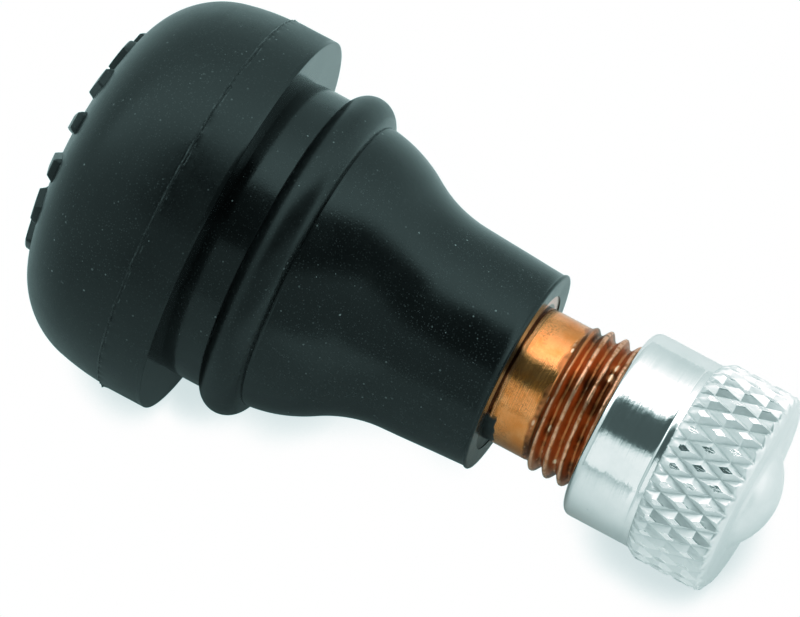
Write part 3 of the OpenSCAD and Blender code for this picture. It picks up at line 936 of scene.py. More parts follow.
@dataclass
class BrassStem:
    """The turned stem: foot, shank with locking rings, collar, bare shank, cap thread and stepped bore."""

    foot_x: float = -4.0
    foot_r: float = 4.7
    foot_t: float = 0.9
    shank_r: float = 3.525
    ring_count: int = 4
    ring_h: float = 0.4
    ring_pitch: float = 2.4
    first_ring_x: float = 2.05
    collar_r: float = 4.15
    collar_len: float = 0.8
    collar_x: float = 15.18
    thread_x: float = 17.35
    tip_x: float = 26.0
    thread_r: float = 3.85
    thread_pitch: float = 0.79375
    thread_depth: float = 0.40
    thread_phase: float = 0.466
    thread_land: float = 0.12
    thread_ease: float = 0.45
    chamfer: float = 0.42
    run_out: float = 0.55
    chamber_r: float = 1.95
    seat_r: float = 2.3
    seat_foot_x: float = 15.55
    seat_top_x: float = 17.05
    plug_foot_x: float = 19.55
    plug_bore_r: float = 2.6
    mouth_chamfer: float = 0.3
    columns: int = 240
    sharp: float = 35.0

    def buried(self, step: float) -> list[np.ndarray]:
        """Outer profile inside the rubber, from the foot's edge to the collar's front edge.

        Args:
            step: Greatest spacing of the points, in millimetres.

        Returns:
            Stretches of (x, r) points.
        """
        cone_x = self.foot_x + self.foot_t + (self.foot_r - self.shank_r) / 2
        collar_back = self.collar_x - self.collar_len
        rings = [self.first_ring_x + i * self.ring_pitch for i in range(self.ring_count)]
        foot_top_x = self.foot_x + self.foot_t
        corners = [(self.foot_x, self.foot_r), (foot_top_x, self.foot_r), (cone_x, self.shank_r)]
        for x in rings:
            corners.append((x - self.ring_h, self.shank_r))
            corners.append((x, self.shank_r + self.ring_h))
            corners.append((x + self.ring_h, self.shank_r))
        corners.append((collar_back, self.shank_r))
        corners.append((collar_back, self.collar_r))
        corners.append((self.collar_x, self.collar_r))
        return [line(a, b, step) for a, b in zip(corners, corners[1:])]

    def outline(self) -> list[np.ndarray]:
        """Outer profile, from the bore at the foot to the tip.

        Returns:
            Stretches of (x, r) points.
        """
        edge = (self.collar_x, self.collar_r)
        inner = (self.collar_x, self.shank_r)
        return [
            line((self.foot_x, self.chamber_r), (self.foot_x, self.foot_r), 1.0),
            *self.buried(2.0),
            line(edge, inner, 0.08),
            line(inner, (self.thread_x, self.shank_r), 0.1),
            line((self.thread_x, self.shank_r), (self.tip_x, self.shank_r), 0.05),
        ]

    def bore(self) -> list[np.ndarray]:
        """Inner profile, from the tip back to the foot.

        Returns:
            Stretches of (x, r) points.
        """
        mouth_r = self.plug_bore_r + self.mouth_chamfer
        corners = [
            (self.tip_x, self.thread_r - self.chamfer),
            (self.tip_x, mouth_r),
            (self.tip_x - self.mouth_chamfer, self.plug_bore_r),
            (self.plug_foot_x, self.plug_bore_r),
            (self.plug_foot_x, self.seat_r),
            (self.seat_top_x, self.seat_r),
            (self.seat_foot_x, self.chamber_r),
            (self.foot_x, self.chamber_r),
        ]
        return [line(a, b, 1.0) for a, b in zip(corners, corners[1:])]

    def thread_wave(self, x: np.ndarray, angle: np.ndarray) -> np.ndarray:
        """Height of the thread: a blunt triangle wave of x less one pitch for each turn of the angle, with
        its corners eased.

        Args:
            x: Places along the axis, in millimetres.
            angle: Angles round the axis, in radians.

        Returns:
            0 in the root and 1 on the crest, for each grid point.
        """
        phase = np.mod(x / self.thread_pitch - angle / (2.0 * math.pi) + self.thread_phase, 1.0)
        wave = 1.0 - np.abs(2.0 * phase - 1.0)
        blunt = np.clip((wave - self.thread_land) / (1.0 - 2.0 * self.thread_land), 0.0, 1.0)
        return blunt + self.thread_ease * (smooth_step(blunt, 0.0, 1.0) - blunt)

    def thread_radius(self, x: np.ndarray, angle: np.ndarray) -> np.ndarray:
        """Radius of the cap thread: the root radius plus the thread wave, faded in from the shank and cut to
        a cone at the tip.

        Args:
            x: Places along the axis, in millimetres.
            angle: Angles round the axis, in radians.

        Returns:
            Radius of each grid point, in millimetres.
        """
        full = self.thread_r - self.thread_depth * (1.0 - self.thread_wave(x, angle))
        fade = smooth_step(x, self.thread_x, self.thread_x + self.run_out)
        cut = self.thread_r - np.clip(x - (self.tip_x - self.chamfer), 0.0, None)
        return np.minimum(self.shank_r + (full - self.shank_r) * fade, cut)

    def build(self, material: Material) -> Piece:
        """Makes the stem's mesh: the turned profile, with the thread as a helix.

        Args:
            material: Its finish.

        Returns:
            The new piece.
        """
        outer = self.outline()
        threaded = len(outer[-1])
        profile = np.vstack(outer + self.bore())
        start = sum(len(part) for part in outer) - threaded
        angle = round_angles(self.columns)
        radius = np.repeat(profile[:, 1:], self.columns, axis=1)
        rows = slice(start, start + threaded)
        radius[rows] = self.thread_radius(profile[rows, :1], angle[None, :])
        piece = mesh_from_grid("threaded_stem", turned_points(profile, angle, radius), Ends.LOOP)
        return fit_piece(piece, Body.VALVE, "stem", material, self.sharp)


@dataclass
class RubberBody:
    """The moulded rubber: domed head with raised blocks, flange, rim groove, snap bead and tapered sleeve."""

    stem: BrassStem
    nub_direction: Span
    flange_r: float = 9.92
    flange_land: float = 2.3
    flange_edge: float = 0.03
    seam_ridge: float = 0.04
    seam_step: float = 0.08
    seam_len: float = 0.3
    seam_rise: float = 0.10
    side_lean: float = 3.5
    side_curve_r: float = 12.0
    corner_lean: float = 14.2
    corner_r: float = 4.6
    dome_r: float = 21.5
    air_hole_r: float = 2.4
    block_count: int = 14
    block_ring_r: float = 5.2
    block_len: float = 1.7
    block_w: float = 1.05
    block_h: float = 0.34
    block_edge: float = 0.12
    neck_r: float = 7.775
    groove_w: float = 2.05
    undercut: float = 0.06
    undercut_len: float = 0.8
    bead_top_r: float = 8.525
    bead_r: float = 1.15
    shoulder_r: float = 7.525
    throat_r: float = 5.425
    shoulder_curve_r: float = 7.4
    throat_curve_r: float = 6.6
    shoulder_taper: float = 5.5
    sleeve_taper: float = 3.5
    sleeve_len: float = 15.24
    lip_h: float = 0.07
    lip_len: float = 0.25
    lip_chamfer: float = 0.06
    mouth_face_r: float = 5.1
    unevenness: float = 0.005
    skin_seed: int = 7
    even_seat: float = 0.8
    even_mouth: Span = (14.2, 14.9)
    rim_from_r: float = 9.5
    flash_h: float = 0.06
    flash_w: float = 0.09
    flash_turns: float = 9.0
    flash_seed: int = 11
    flash_waves: int = 14
    nub_h: float = 0.12
    nub_w: float = 0.16
    groove_wave_h: float = 0.012
    groove_wave_w: float = 0.07
    groove_turns: float = 5.0
    groove_seed: int = 5
    groove_waves: int = 12
    columns: int = 360
    sharp: float = 40.0

    def __post_init__(self) -> None:
        """Works out the centres of the head's side, corner and dome, and where the dome meets the corner."""
        self.side_r = self.flange_r - self.seam_step
        self.side_x = -self.flange_land - self.seam_len
        lean, bend = math.radians(self.side_lean), math.radians(self.corner_lean)
        swell_x = self.side_x + self.side_curve_r * math.sin(lean)
        swell_r = self.side_r - self.side_curve_r * math.cos(lean)
        reach = self.side_curve_r - self.corner_r
        self.side_centre = (swell_x, swell_r)
        self.corner_centre = (swell_x - reach * math.sin(bend), swell_r + reach * math.cos(bend))
        reach = self.dome_r - self.corner_r
        self.dome_x = self.corner_centre[0] + math.sqrt(reach ** 2 - self.corner_centre[1] ** 2)
        self.join = math.degrees(math.asin(self.corner_centre[1] / reach))
        self.dome_edge_x = self.dome_x - self.dome_r * math.cos(math.radians(self.join))

    def head(self) -> list[np.ndarray]:
        """Profile from the stem's foot, out of the air hole, over the dome and corner, to the flange's edge.

        Returns:
            Stretches of (x, r) points.
        """
        hole = math.degrees(math.acos(self.air_hole_r / self.dome_r))
        back_x = self.dome_x - math.sqrt(self.dome_r ** 2 - self.air_hole_r ** 2)
        seam_x = -self.flange_land
        lean = math.radians(self.side_lean)
        foot = (seam_x - self.seam_rise, self.side_r + (self.seam_len - self.seam_rise) * math.tan(lean))
        corners = [(self.side_x, self.side_r), foot, (seam_x, self.flange_r + self.seam_ridge),
                   (seam_x + 2 * self.seam_ridge, self.flange_r), (-self.flange_edge, self.flange_r)]
        steps = (0.1, 0.06, 0.04, 0.22)
        return [
            line((self.stem.foot_x, self.air_hole_r), (back_x, self.air_hole_r), 1.0),
            arc((self.dome_x, 0.0), self.dome_r, -hole, self.join - 90.0, 0.1),
            arc(self.corner_centre, self.corner_r, self.join - 90.0, -self.corner_lean, 0.15)[1:],
            arc(self.side_centre, self.side_curve_r, -self.corner_lean, -self.side_lean, 0.16)[1:-1],
            *[line(a, b, step) for a, b, step in zip(corners, corners[1:], steps)],
            arc((-self.flange_edge, self.flange_r - self.flange_edge), self.flange_edge, 0.0, 90.0, 0.03),
        ]

    def sleeve(self) -> list[np.ndarray]:
        """Profile from the rim seat, over the groove, bead and shoulder, to the sleeve's mouth.

        Returns:
            Stretches of (x, r) points.
        """
        bead_centre = self.bead_top_r - self.bead_r
        start = math.degrees(math.acos((self.neck_r - bead_centre) / self.bead_r))
        stop = math.degrees(math.acos((self.shoulder_r - bead_centre) / self.bead_r))
        bead_x = self.groove_w + self.bead_r * math.sin(math.radians(start))
        shoulder_x = bead_x + self.bead_r * math.sin(math.radians(stop))
        a, b = math.radians(self.shoulder_taper), math.radians(self.sleeve_taper)
        both = self.shoulder_curve_r + self.throat_curve_r
        drop = self.shoulder_r - self.throat_r
        sag = self.shoulder_curve_r * math.cos(a)
        slope = math.acos((sag + self.throat_curve_r * math.cos(b) - drop) / both)
        hill = (shoulder_x - self.shoulder_curve_r * math.sin(a), self.shoulder_r - sag)
        hollow = (hill[0] + both * math.sin(slope), hill[1] + both * math.cos(slope))
        throat_x = hollow[0] - self.throat_curve_r * math.sin(b)
        lip_x = self.sleeve_len - self.lip_len
        mouth_r = self.throat_r - (lip_x - throat_x) * math.tan(b)
        turn = math.degrees(slope)
        lip_r = mouth_r + self.lip_h
        chamfer_x = self.sleeve_len - self.lip_chamfer
        share = np.linspace(0.0, 1.0, 9)
        return [
            line((0.0, self.flange_r - self.flange_edge - 0.1), (0.0, self.neck_r - self.undercut), 0.5)[:-1],
            np.column_stack([share * self.undercut_len, self.neck_r - self.undercut * (1.0 - share) ** 2]),
            line((self.undercut_len + 0.2, self.neck_r), (self.groove_w, self.neck_r), 0.35),
            arc((bead_x, bead_centre), self.bead_r, -start, stop, 0.1),
            arc(hill, self.shoulder_curve_r, self.shoulder_taper, turn, 0.16)[1:],
            arc(hollow, self.throat_curve_r, turn + 180.0, self.sleeve_taper + 180.0, 0.16)[1:],
            line((throat_x + 0.2, self.throat_r - 0.2 * math.tan(b)), (lip_x, mouth_r), 0.3),
            line((lip_x, mouth_r), (lip_x + self.lip_len / 2, lip_r), 0.05),
            line((lip_x + self.lip_len / 2, lip_r), (chamfer_x, lip_r), 0.06),
            line((chamfer_x, lip_r), (self.sleeve_len, lip_r - self.lip_chamfer), 0.04),
        ]

    def hollow(self) -> list[np.ndarray]:
        """Profile from the mouth's face, down round the collar and along the stem's form, back to the foot.

        Returns:
            Stretches of (x, r) points.
        """
        stem = self.stem
        inside = np.vstack(stem.buried(1.0))
        return [
            line((self.sleeve_len, self.mouth_face_r), (self.sleeve_len, stem.collar_r), 0.15),
            line((self.sleeve_len, stem.collar_r), (stem.collar_x, stem.collar_r), 0.06),
            inside[::-1],
            line((stem.foot_x, stem.foot_r - 0.4), (stem.foot_x, self.air_hole_r), 1.0),
        ]

    def raised_blocks(self, profile: np.ndarray, angle: np.ndarray) -> np.ndarray:
        """Height of the raised blocks: a soft-edged box in the distances along the dome and round it.

        Args:
            profile: Rows of (x, r) in millimetres.
            angle: Angles of the columns.

        Returns:
            Height over the dome for each grid point, in millimetres.
        """
        x, r = profile[:, :1], profile[:, 1:]
        along = np.arctan2(r, self.dome_x - x) * self.dome_r
        centre = math.asin(self.block_ring_r / self.dome_r) * self.dome_r
        pitch, column = 2.0 * math.pi / self.block_count, 2.0 * math.pi / self.columns
        nearest = np.round((angle - math.pi / 2.0) / pitch) * pitch
        turn = angle - math.pi / 2.0 - np.round(nearest / column) * column
        across = np.abs(turn)[None, :] * self.block_ring_r
        edge = self.block_edge
        length = 1.0 - smooth_step(np.abs(along - centre), self.block_len / 2 - edge, self.block_len / 2)
        width = 1.0 - smooth_step(across, self.block_w / 2 - edge, self.block_w / 2)
        on_dome = x < self.dome_edge_x + 0.1
        return np.where(on_dome, length * width * self.block_h, 0.0)

    def build(self, material: Material) -> Piece:
        """Makes the rubber's mesh: the turned profile, with blocks on the dome, an uneven skin and flash.

        Args:
            material: Its finish.

        Returns:
            The new piece.
        """
        outside = np.vstack(self.head() + self.sleeve())
        profile = np.vstack([outside, *self.hollow()])
        angle = round_angles(self.columns)
        x = profile[:, :1]
        radius = np.repeat(profile[:, 1:], self.columns, axis=1)
        shown = (np.arange(len(profile)) < len(outside))[:, None]
        fade = smooth_step(np.abs(x), 0.0, self.even_seat) * (1.0 - smooth_step(x, *self.even_mouth))
        skin = self.unevenness * ripple(angle[None, :], x, self.skin_seed) * fade
        skin = np.where(profile[:, 1:] > self.rim_from_r, -np.abs(skin), skin)
        seam = np.exp(-((x + self.flange_land) / self.flash_w) ** 2)
        torn = ripple(angle[None, :] * self.flash_turns, x * 0.0, self.flash_seed, self.flash_waves)
        ragged = -self.flash_h * np.clip(0.5 + torn, 0.0, 1.0)
        nub_angle = math.atan2(self.nub_direction[1], self.nub_direction[0])
        turned = np.mod(angle - nub_angle + math.pi, 2.0 * math.pi) - math.pi
        nub = self.nub_h * np.exp(-(turned * self.flange_r / self.nub_w) ** 2)[None, :]
        groove = np.exp(-((x - self.groove_w) / self.groove_wave_w) ** 2)
        wavy = ripple(angle[None, :] * self.groove_turns, x * 0.0, self.groove_seed, self.groove_waves)
        lifted = self.groove_wave_h * wavy
        radius = radius + np.where(shown, skin + seam * (ragged + nub) + groove * lifted, 0.0)
        points = turned_points(profile, angle, radius)
        height = np.where(shown, self.raised_blocks(profile, angle), 0.0)[..., None] * MM
        centre = np.array([self.dome_x, 0.0, 0.0]) * MM
        out = points - centre
        points = points + height * out / np.linalg.norm(out, axis=-1, keepdims=True)
        piece = mesh_from_grid("moulded_rubber", points, Ends.LOOP)
        return fit_piece(piece, Body.VALVE, "rubber_body", material, self.sharp)


@dataclass
class DomeCap:
    """The metal cap: smooth skirt, diamond knurl, rounded end with a nub, and a threaded hollow."""

    stem: BrassStem
    mouth_x: float = 20.24
    end_x: float = 28.06
    skirt_r: float = 4.885
    edge: float = 0.4
    knurl_x: float = 23.86
    knurl_slope: float = 0.5
    knurl_r: float = 5.22
    knurl_depth: float = 0.27
    diamonds: int = 33
    diamond_len: float = 2.32
    land_steps: int = 2
    steps: int = 6
    bore_r: float = 3.95
    ceiling_x: float = 27.0
    thread_gap: float = 0.1
    nub_r: float = 2.65
    nub_h: float = 1.2
    nub_fillet: float = 0.22
    groove_h: float = 0.02
    groove_gaps: Triple = (0.42, 0.37, 0.3)
    sharp: float = 24.0

    @property
    def columns(self) -> int:
        """Columns of the grid: a whole number of steps in each half diamond."""
        return 2 * self.steps * self.diamonds

    def inside(self) -> list[np.ndarray]:
        """Profile from the middle of the ceiling, down the bore to the mouth's bevel.

        Returns:
            Stretches of (x, r) points.
        """
        bevel = self.edge / 2
        return [
            line((self.ceiling_x, 0.05), (self.ceiling_x, self.bore_r), 1.3),
            line((self.ceiling_x, self.bore_r), (self.stem.tip_x + 0.2, self.bore_r), 0.4),
            line((self.stem.tip_x + 0.2, self.bore_r), (self.mouth_x + bevel, self.bore_r), 0.1),
            line((self.mouth_x + bevel, self.bore_r), (self.mouth_x, self.bore_r + bevel), 0.1),
        ]

    def skirt(self) -> list[np.ndarray]:
        """Profile from the mouth's face, round its edge and along the skirt, with a fine groove by the knurl.

        Returns:
            Stretches of (x, r) points.
        """
        top_r, edge = self.skirt_r, self.edge
        back, deep, front = (self.knurl_x - gap for gap in self.groove_gaps)
        return [
            line((self.mouth_x, self.bore_r + edge / 2), (self.mouth_x, top_r - edge), 0.12),
            arc((self.mouth_x + edge, top_r - edge), edge, -90.0, 0.0, 0.06),
            line((self.mouth_x + edge + 0.15, top_r), (back, top_r), 0.25),
            line((back, top_r), (deep, top_r - self.groove_h), 0.05),
            line((deep, top_r - self.groove_h), (front, top_r), 0.04),
            line((front, top_r), (self.knurl_x - 0.03, top_r), 0.1),
        ]

    def band(self) -> list[np.ndarray]:
        """Profile of the knurled band at its root, on the same steps as the diamonds' corners.

        Returns:
            Stretches of (x, r) points.
        """
        root_r = self.knurl_r - self.knurl_depth
        step = self.diamond_len / 2 / self.steps
        first = math.floor((self.end_x - self.knurl_x) / step)
        last = math.ceil(self.edge / step)
        x = self.end_x - step * np.arange(first, last - 1, -1)
        climb = (root_r - self.skirt_r) / (self.knurl_slope / 2)
        r = np.minimum(root_r, self.skirt_r + (x - self.knurl_x) * climb)
        return [np.array([[self.knurl_x, self.skirt_r]]), np.column_stack([x, r])]

    def end(self) -> list[np.ndarray]:
        """Profile from the band's outer edge, over the end face and up the nub to its middle.

        Returns:
            Stretches of (x, r) points.
        """
        root_r = self.knurl_r - self.knurl_depth
        ball = (self.nub_r ** 2 + self.nub_h ** 2) / (2.0 * self.nub_h)
        foot = math.degrees(math.asin(self.nub_r / ball))
        tip = self.end_x + self.nub_h
        fillet = self.nub_fillet
        start = foot - 3.5
        meet = (tip - ball + ball * math.cos(math.radians(start)), ball * math.sin(math.radians(start)))
        return [
            arc((self.end_x - self.edge, root_r - self.edge), self.edge, 4.0, 90.0, 0.06),
            line((self.end_x, root_r - self.edge - 0.2), (self.end_x, self.nub_r + fillet), 0.2),
            line((self.end_x, self.nub_r + fillet), (self.end_x + 0.02, self.nub_r + fillet / 2), 0.05),
            line((self.end_x + 0.02, self.nub_r + fillet / 2), meet, 0.05),
            arc((tip - ball, 0.0), ball, 90.0 - start, 89.2, 0.14),
        ]

    def lattice(self, x: np.ndarray, angle: np.ndarray) -> tuple[np.ndarray, np.ndarray]:
        """Place on the lattice of diamonds, whose axes run along their sides.

        Args:
            x: Places along the axis, in millimetres.
            angle: Angles round the axis, in radians.

        Returns:
            Distances from the nearest centre along both axes, each within -0.5 to 0.5.
        """
        p = (x - self.end_x) / (self.diamond_len / 2)
        q = (angle - math.pi / 2.0) * self.diamonds / math.pi
        u, v = (p + q) / 2.0, (p - q) / 2.0
        return u - np.round(u), v - np.round(v)

    def knurl_height(self, x: np.ndarray, angle: np.ndarray) -> np.ndarray:
        """Height of the knurl: on each diamond a flat top, and then an even slope down to the valleys, by the
        greater of the two lattice distances.

        Args:
            x: Places along the axis, in millimetres.
            angle: Angles round the axis, in radians.

        Returns:
            Height of each grid point over the root, in millimetres.
        """
        u, v = self.lattice(x, angle)
        share = 2.0 * np.maximum(np.abs(u), np.abs(v))
        land = self.land_steps / self.steps
        return self.knurl_depth * np.clip((1.0 - share) / (1.0 - land), 0.0, 1.0)

    def crease_side(self, x: np.ndarray, angle: np.ndarray) -> np.ndarray:
        """Which diagonal of each cell lies along the knurl's edges.

        Args:
            x: Places along the axis, in millimetres.
            angle: Angles round the axis, in radians.

        Returns:
            For each cell, whether it is the first diagonal.
        """
        u, v = self.lattice((x[:-1] + x[1:]) / 2, angle + math.pi / self.columns)
        return (u + v) * (u - v) < 0.0

    def build(self, material: Material) -> Piece:
        """Makes the cap's mesh: the turned profile, with the knurl on its band and the thread in its bore.

        Args:
            material: Its finish.

        Returns:
            The new piece.
        """
        end = self.end()
        inside, skirt, band = (np.vstack(part) for part in (self.inside(), self.skirt(), self.band()))
        profile = np.vstack([inside, skirt, band, *end])
        angle = round_angles(self.columns)
        x = profile[:, :1]
        radius = np.repeat(profile[:, 1:], self.columns, axis=1)
        row = np.arange(len(profile))[:, None]
        on_bore = (row < len(inside)) & (x > self.mouth_x + 0.3) & (x < self.stem.tip_x + 0.1)
        wave = self.stem.thread_wave(x, angle[None, :])
        thread = self.stem.thread_r - self.stem.thread_depth * (1.0 - wave) + self.thread_gap
        radius = np.where(on_bore, thread, radius)
        first = len(inside) + len(skirt)
        rim = first + len(band) + len(end[0])
        on_band = (row >= first) & (row < rim)
        slope = self.skirt_r + (x - self.knurl_x) * (self.knurl_r - self.skirt_r) / self.knurl_slope
        blunt = self.knurl_r - np.clip(x - (self.end_x - self.edge), 0.0, None) * 0.5
        limit = np.minimum(np.minimum(slope, blunt), self.knurl_r)
        fade = 1.0 - smooth_step(x, self.end_x - self.edge * 0.85, self.end_x - self.edge * 0.2)
        raised = np.minimum(radius + self.knurl_height(x, angle[None, :]) * fade, np.maximum(limit, radius))
        radius = np.where(on_band, raised, radius)
        points = turned_points(profile, angle, radius)
        piece = mesh_from_grid("knurled_cap", points, Ends.POLES, self.crease_side(x, angle[None, :]))
        return fit_piece(piece, Body.CAP, "cap", material, self.sharp)


@dataclass
class CoreSpring:
    """The coil spring in the core's barrel."""

    seat_x: float = 10.9
    top_x: float = 16.95
    wire_d: float = 0.34
    gap: float = 0.05
    mean_r: float = 0.96
    turns: int = 8
    steps: int = 40
    sides: int = 14
    travel: float = 1.2
    sharp: float = 50.0

    def rise(self, turn: np.ndarray) -> np.ndarray:
        """Height of the wire's middle: a closed turn at each end, and an even pitch between.

        Args:
            turn: Turns of the wire from its foot.

        Returns:
            Height over the foot, in millimetres.
        """
        closed = self.wire_d + self.gap
        free = self.top_x - self.seat_x - closed
        pitch = (free - 2 * closed) / (self.turns - 2)
        middle = pitch * np.clip(turn - 1.0, 0.0, self.turns - 2)
        return closed * np.clip(turn, 0.0, 1.0) + middle + closed * np.clip(turn - self.turns + 1, 0.0, 1.0)

    def build(self, material: Material) -> Piece:
        """Makes the wire: a circle carried along a helix, standing on the outward and the axial direction.

        Args:
            material: Its finish.

        Returns:
            The new piece.
        """
        turn = np.linspace(0.0, self.turns, self.turns * self.steps + 1)[:, None]
        side = round_angles(self.sides)[None, :]
        reach = self.mean_r + self.wire_d / 2 * np.cos(side)
        x = self.seat_x + (self.wire_d + self.gap) / 2 + self.rise(turn) - self.wire_d / 2 * np.sin(side)
        spun = 2.0 * math.pi * turn
        points = np.stack([x, reach * np.cos(spun), reach * np.sin(spun)], axis=-1) * MM
        piece = mesh_from_grid("coil_spring", points, Ends.POLES)
        fit_piece(piece, Body.VALVE, "core_spring", material, self.sharp)
        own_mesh(piece)
        return piece


def fit_piece(piece: Piece, body: Body, node: str, material: Material, sharp: float) -> Piece:
    """Dresses a new piece and stands it in for a plain solid.

    Args:
        piece: The new piece.
        body: The body that it rides on.
        node: The solid that it stands for.
        material: Its finish.
        sharp: Edges that bend more than this, in degrees, stay crisp.

    Returns:
        The same piece.
    """
    shade(piece, sharp)
    piece.data.materials.append(material)
    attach(piece, body.value)
    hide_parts(node)
    LOG.info("%s: %d faces, rides on %s", piece.name, len(piece.data.polygons), body.value)
    return piece


def dress_node(node: Piece, material: Material) -> None:
    """Gives a solid that stays in view its finish.

    Args:
        node: The solid's object.
        material: Its finish.
    """
    node.data.materials.clear()
    node.data.materials.append(material)
    LOG.info("%s: finish %s", node.name, material.name)


# Camera, table and light


@dataclass
class StudioCamera:
    """The camera, set by where the valve lies in the picture."""

    lift: float = 52.6
    heading: float = 27.65
    aim_x: float = 8.71
    aim_across: float = 0.054
    distance: float = 650.0
    pixels_for_mm: float = 20.84
    image_width: int = 800
    sensor_width: float = 36.0
    floor_tilt: float = 9.56
    clip: Span = (0.01, 20.0)

    def __post_init__(self) -> None:
        """Works out the floor's normal and the camera's own directions."""
        tilt, turn, lift = (math.radians(a) for a in (self.floor_tilt, self.heading, self.lift))
        self.floor_normal = Vector((-math.sin(tilt), 0.0, math.cos(tilt)))
        uphill = Vector((math.cos(tilt), 0.0, math.sin(tilt)))
        self.right = uphill * math.cos(turn) + Vector((0.0, 1.0, 0.0)) * math.sin(turn)
        forward = self.floor_normal.cross(self.right)
        self.up = self.floor_normal * math.cos(lift) + forward * math.sin(lift)
        self.back = self.right.cross(self.up)
        axis = Vector((1.0, 0.0, 0.0))
        self.along = (axis - self.back * axis.dot(self.back)).normalized()
        self.across = self.back.cross(self.along)

    def build(self) -> Piece:
        """Makes the camera and sets it as the scene's.

        Returns:
            The camera.
        """
        aim = Vector((self.aim_x, 0.0, 0.0)) + self.across * self.aim_across
        data = bpy.data.cameras.new("photo_camera")
        data.sensor_fit = "HORIZONTAL"
        data.sensor_width = self.sensor_width
        data.lens = self.distance * self.pixels_for_mm / self.image_width * self.sensor_width
        data.clip_start, data.clip_end = self.clip
        camera = bpy.data.objects.new("photo_camera", data)
        turn = Matrix((self.right, self.up, self.back)).transposed().to_4x4()
        camera.matrix_world = Matrix.Translation((aim + self.back * self.distance) * MM) @ turn
        bpy.context.scene.collection.objects.link(camera)
        bpy.context.scene.camera = camera
        return camera


@dataclass
class Table:
    """The pale table top that the flange and the cap rest on."""

    flange_r: float
    clearance: float = 0.02
    half: float = 1500.0
    ridge_x: float = 28.3
    fall: float = 12.0
    # painted shade: the near side of the table, as the valve mirrors it
    painted_near_shade: Colour = (0.74, 0.74, 0.74)
    far_tint: Colour = WHITE
    paler_along: Span = (12.0, 22.0)
    paler_away: Span = (-2.0, 12.0)
    shadow: Colour = (0.74, 0.74, 0.75)
    shadow_reach: float = 3.6
    shadow_span: Span = (0.34, 0.68)
    shadow_samples: int = 24

    def build(self, camera: StudioCamera) -> Piece:
        """Makes the table top: flat under the valve and falling away gently past the cap, to leave room for
        the cap's travel.

        Args:
            camera: The camera, which knows how the floor lies.

        Returns:
            The table top.
        """
        normal, side = camera.floor_normal, Vector((0.0, 1.0, 0.0))
        touch = Vector((0.0, 0.0, -self.flange_r)) - normal * self.clearance
        ahead = side.cross(normal)
        turn = math.radians(self.fall)
        ridge = touch + ahead * (self.ridge_x / ahead.x)
        falling = ahead * math.cos(turn) - normal * math.sin(turn)
        lines = [touch - ahead * self.half, ridge, ridge + falling * self.half]
        verts = np.array([tuple(point + side * b * self.half) for point in lines for b in (-1, 1)]) * MM
        floor = object_from_faces("table_top", verts, [np.array([[0, 2, 3, 1], [2, 4, 5, 3]])])
        floor.data.materials.append(self.material(camera))
        return floor

    def material(self, camera: StudioCamera) -> Material:
        """Makes the finish. The table is washed out to white where it is seen, with a painted soft shadow
        close to what stands on it, and clear when seen from below. What the valve mirrors of it is darker on
        the near side, as painted shade.

        Args:
            camera: The camera, which tells the near side from the far one.

        Returns:
            The finished material.
        """
        material = bpy.data.materials.new("table_white")
        material.use_nodes = True
        bench = NodeBench(material.node_tree)
        where = bench.add("ShaderNodeTexCoord").outputs["Object"]
        along = bench.add("ShaderNodeSeparateXYZ", None, Vector=where).outputs[0]
        normal = camera.floor_normal
        far = (camera.across - normal * camera.across.dot(normal)).normalized()
        away = bench.vector("DOT_PRODUCT", where, tuple(far)).outputs["Value"]
        paler = bench.most(bench.ramp(along, *(place * MM for place in self.paler_along)),
                           bench.ramp(away, *(place * MM for place in self.paler_away)))
        # painted shade: for all but camera rays the table is darker on the near side and paler along and away
        top = bench.add("ShaderNodeBsdfDiffuse", None, Color=bench.mix(paler, self.painted_near_shade, self.far_tint))
        # painted shadow: ambient occlusion darkens the table's white glow close to what stands on it
        settings = {"samples": self.shadow_samples}
        near = bench.add("ShaderNodeAmbientOcclusion", settings, Distance=self.shadow_reach * MM)
        level = bench.mix(bench.ramp(near.outputs["AO"], *self.shadow_span), self.shadow, WHITE)
        wash = bench.add("ShaderNodeEmission", None, Color=level, Strength=1.0)
        seen = bench.add("ShaderNodeLightPath").outputs["Is Camera Ray"]
        top = bench.add("ShaderNodeMixShader", None, i0=seen, i1=top.outputs[0], i2=wash.outputs[0])
        clear = bench.add("ShaderNodeBsdfTransparent")
        behind = bench.add("ShaderNodeNewGeometry").outputs["Backfacing"]
        mixed = bench.add("ShaderNodeMixShader", None, i0=behind, i1=top.outputs[0], i2=clear.outputs[0])
        bench.add("ShaderNodeOutputMaterial", None, Surface=mixed.outputs[0])
        return material


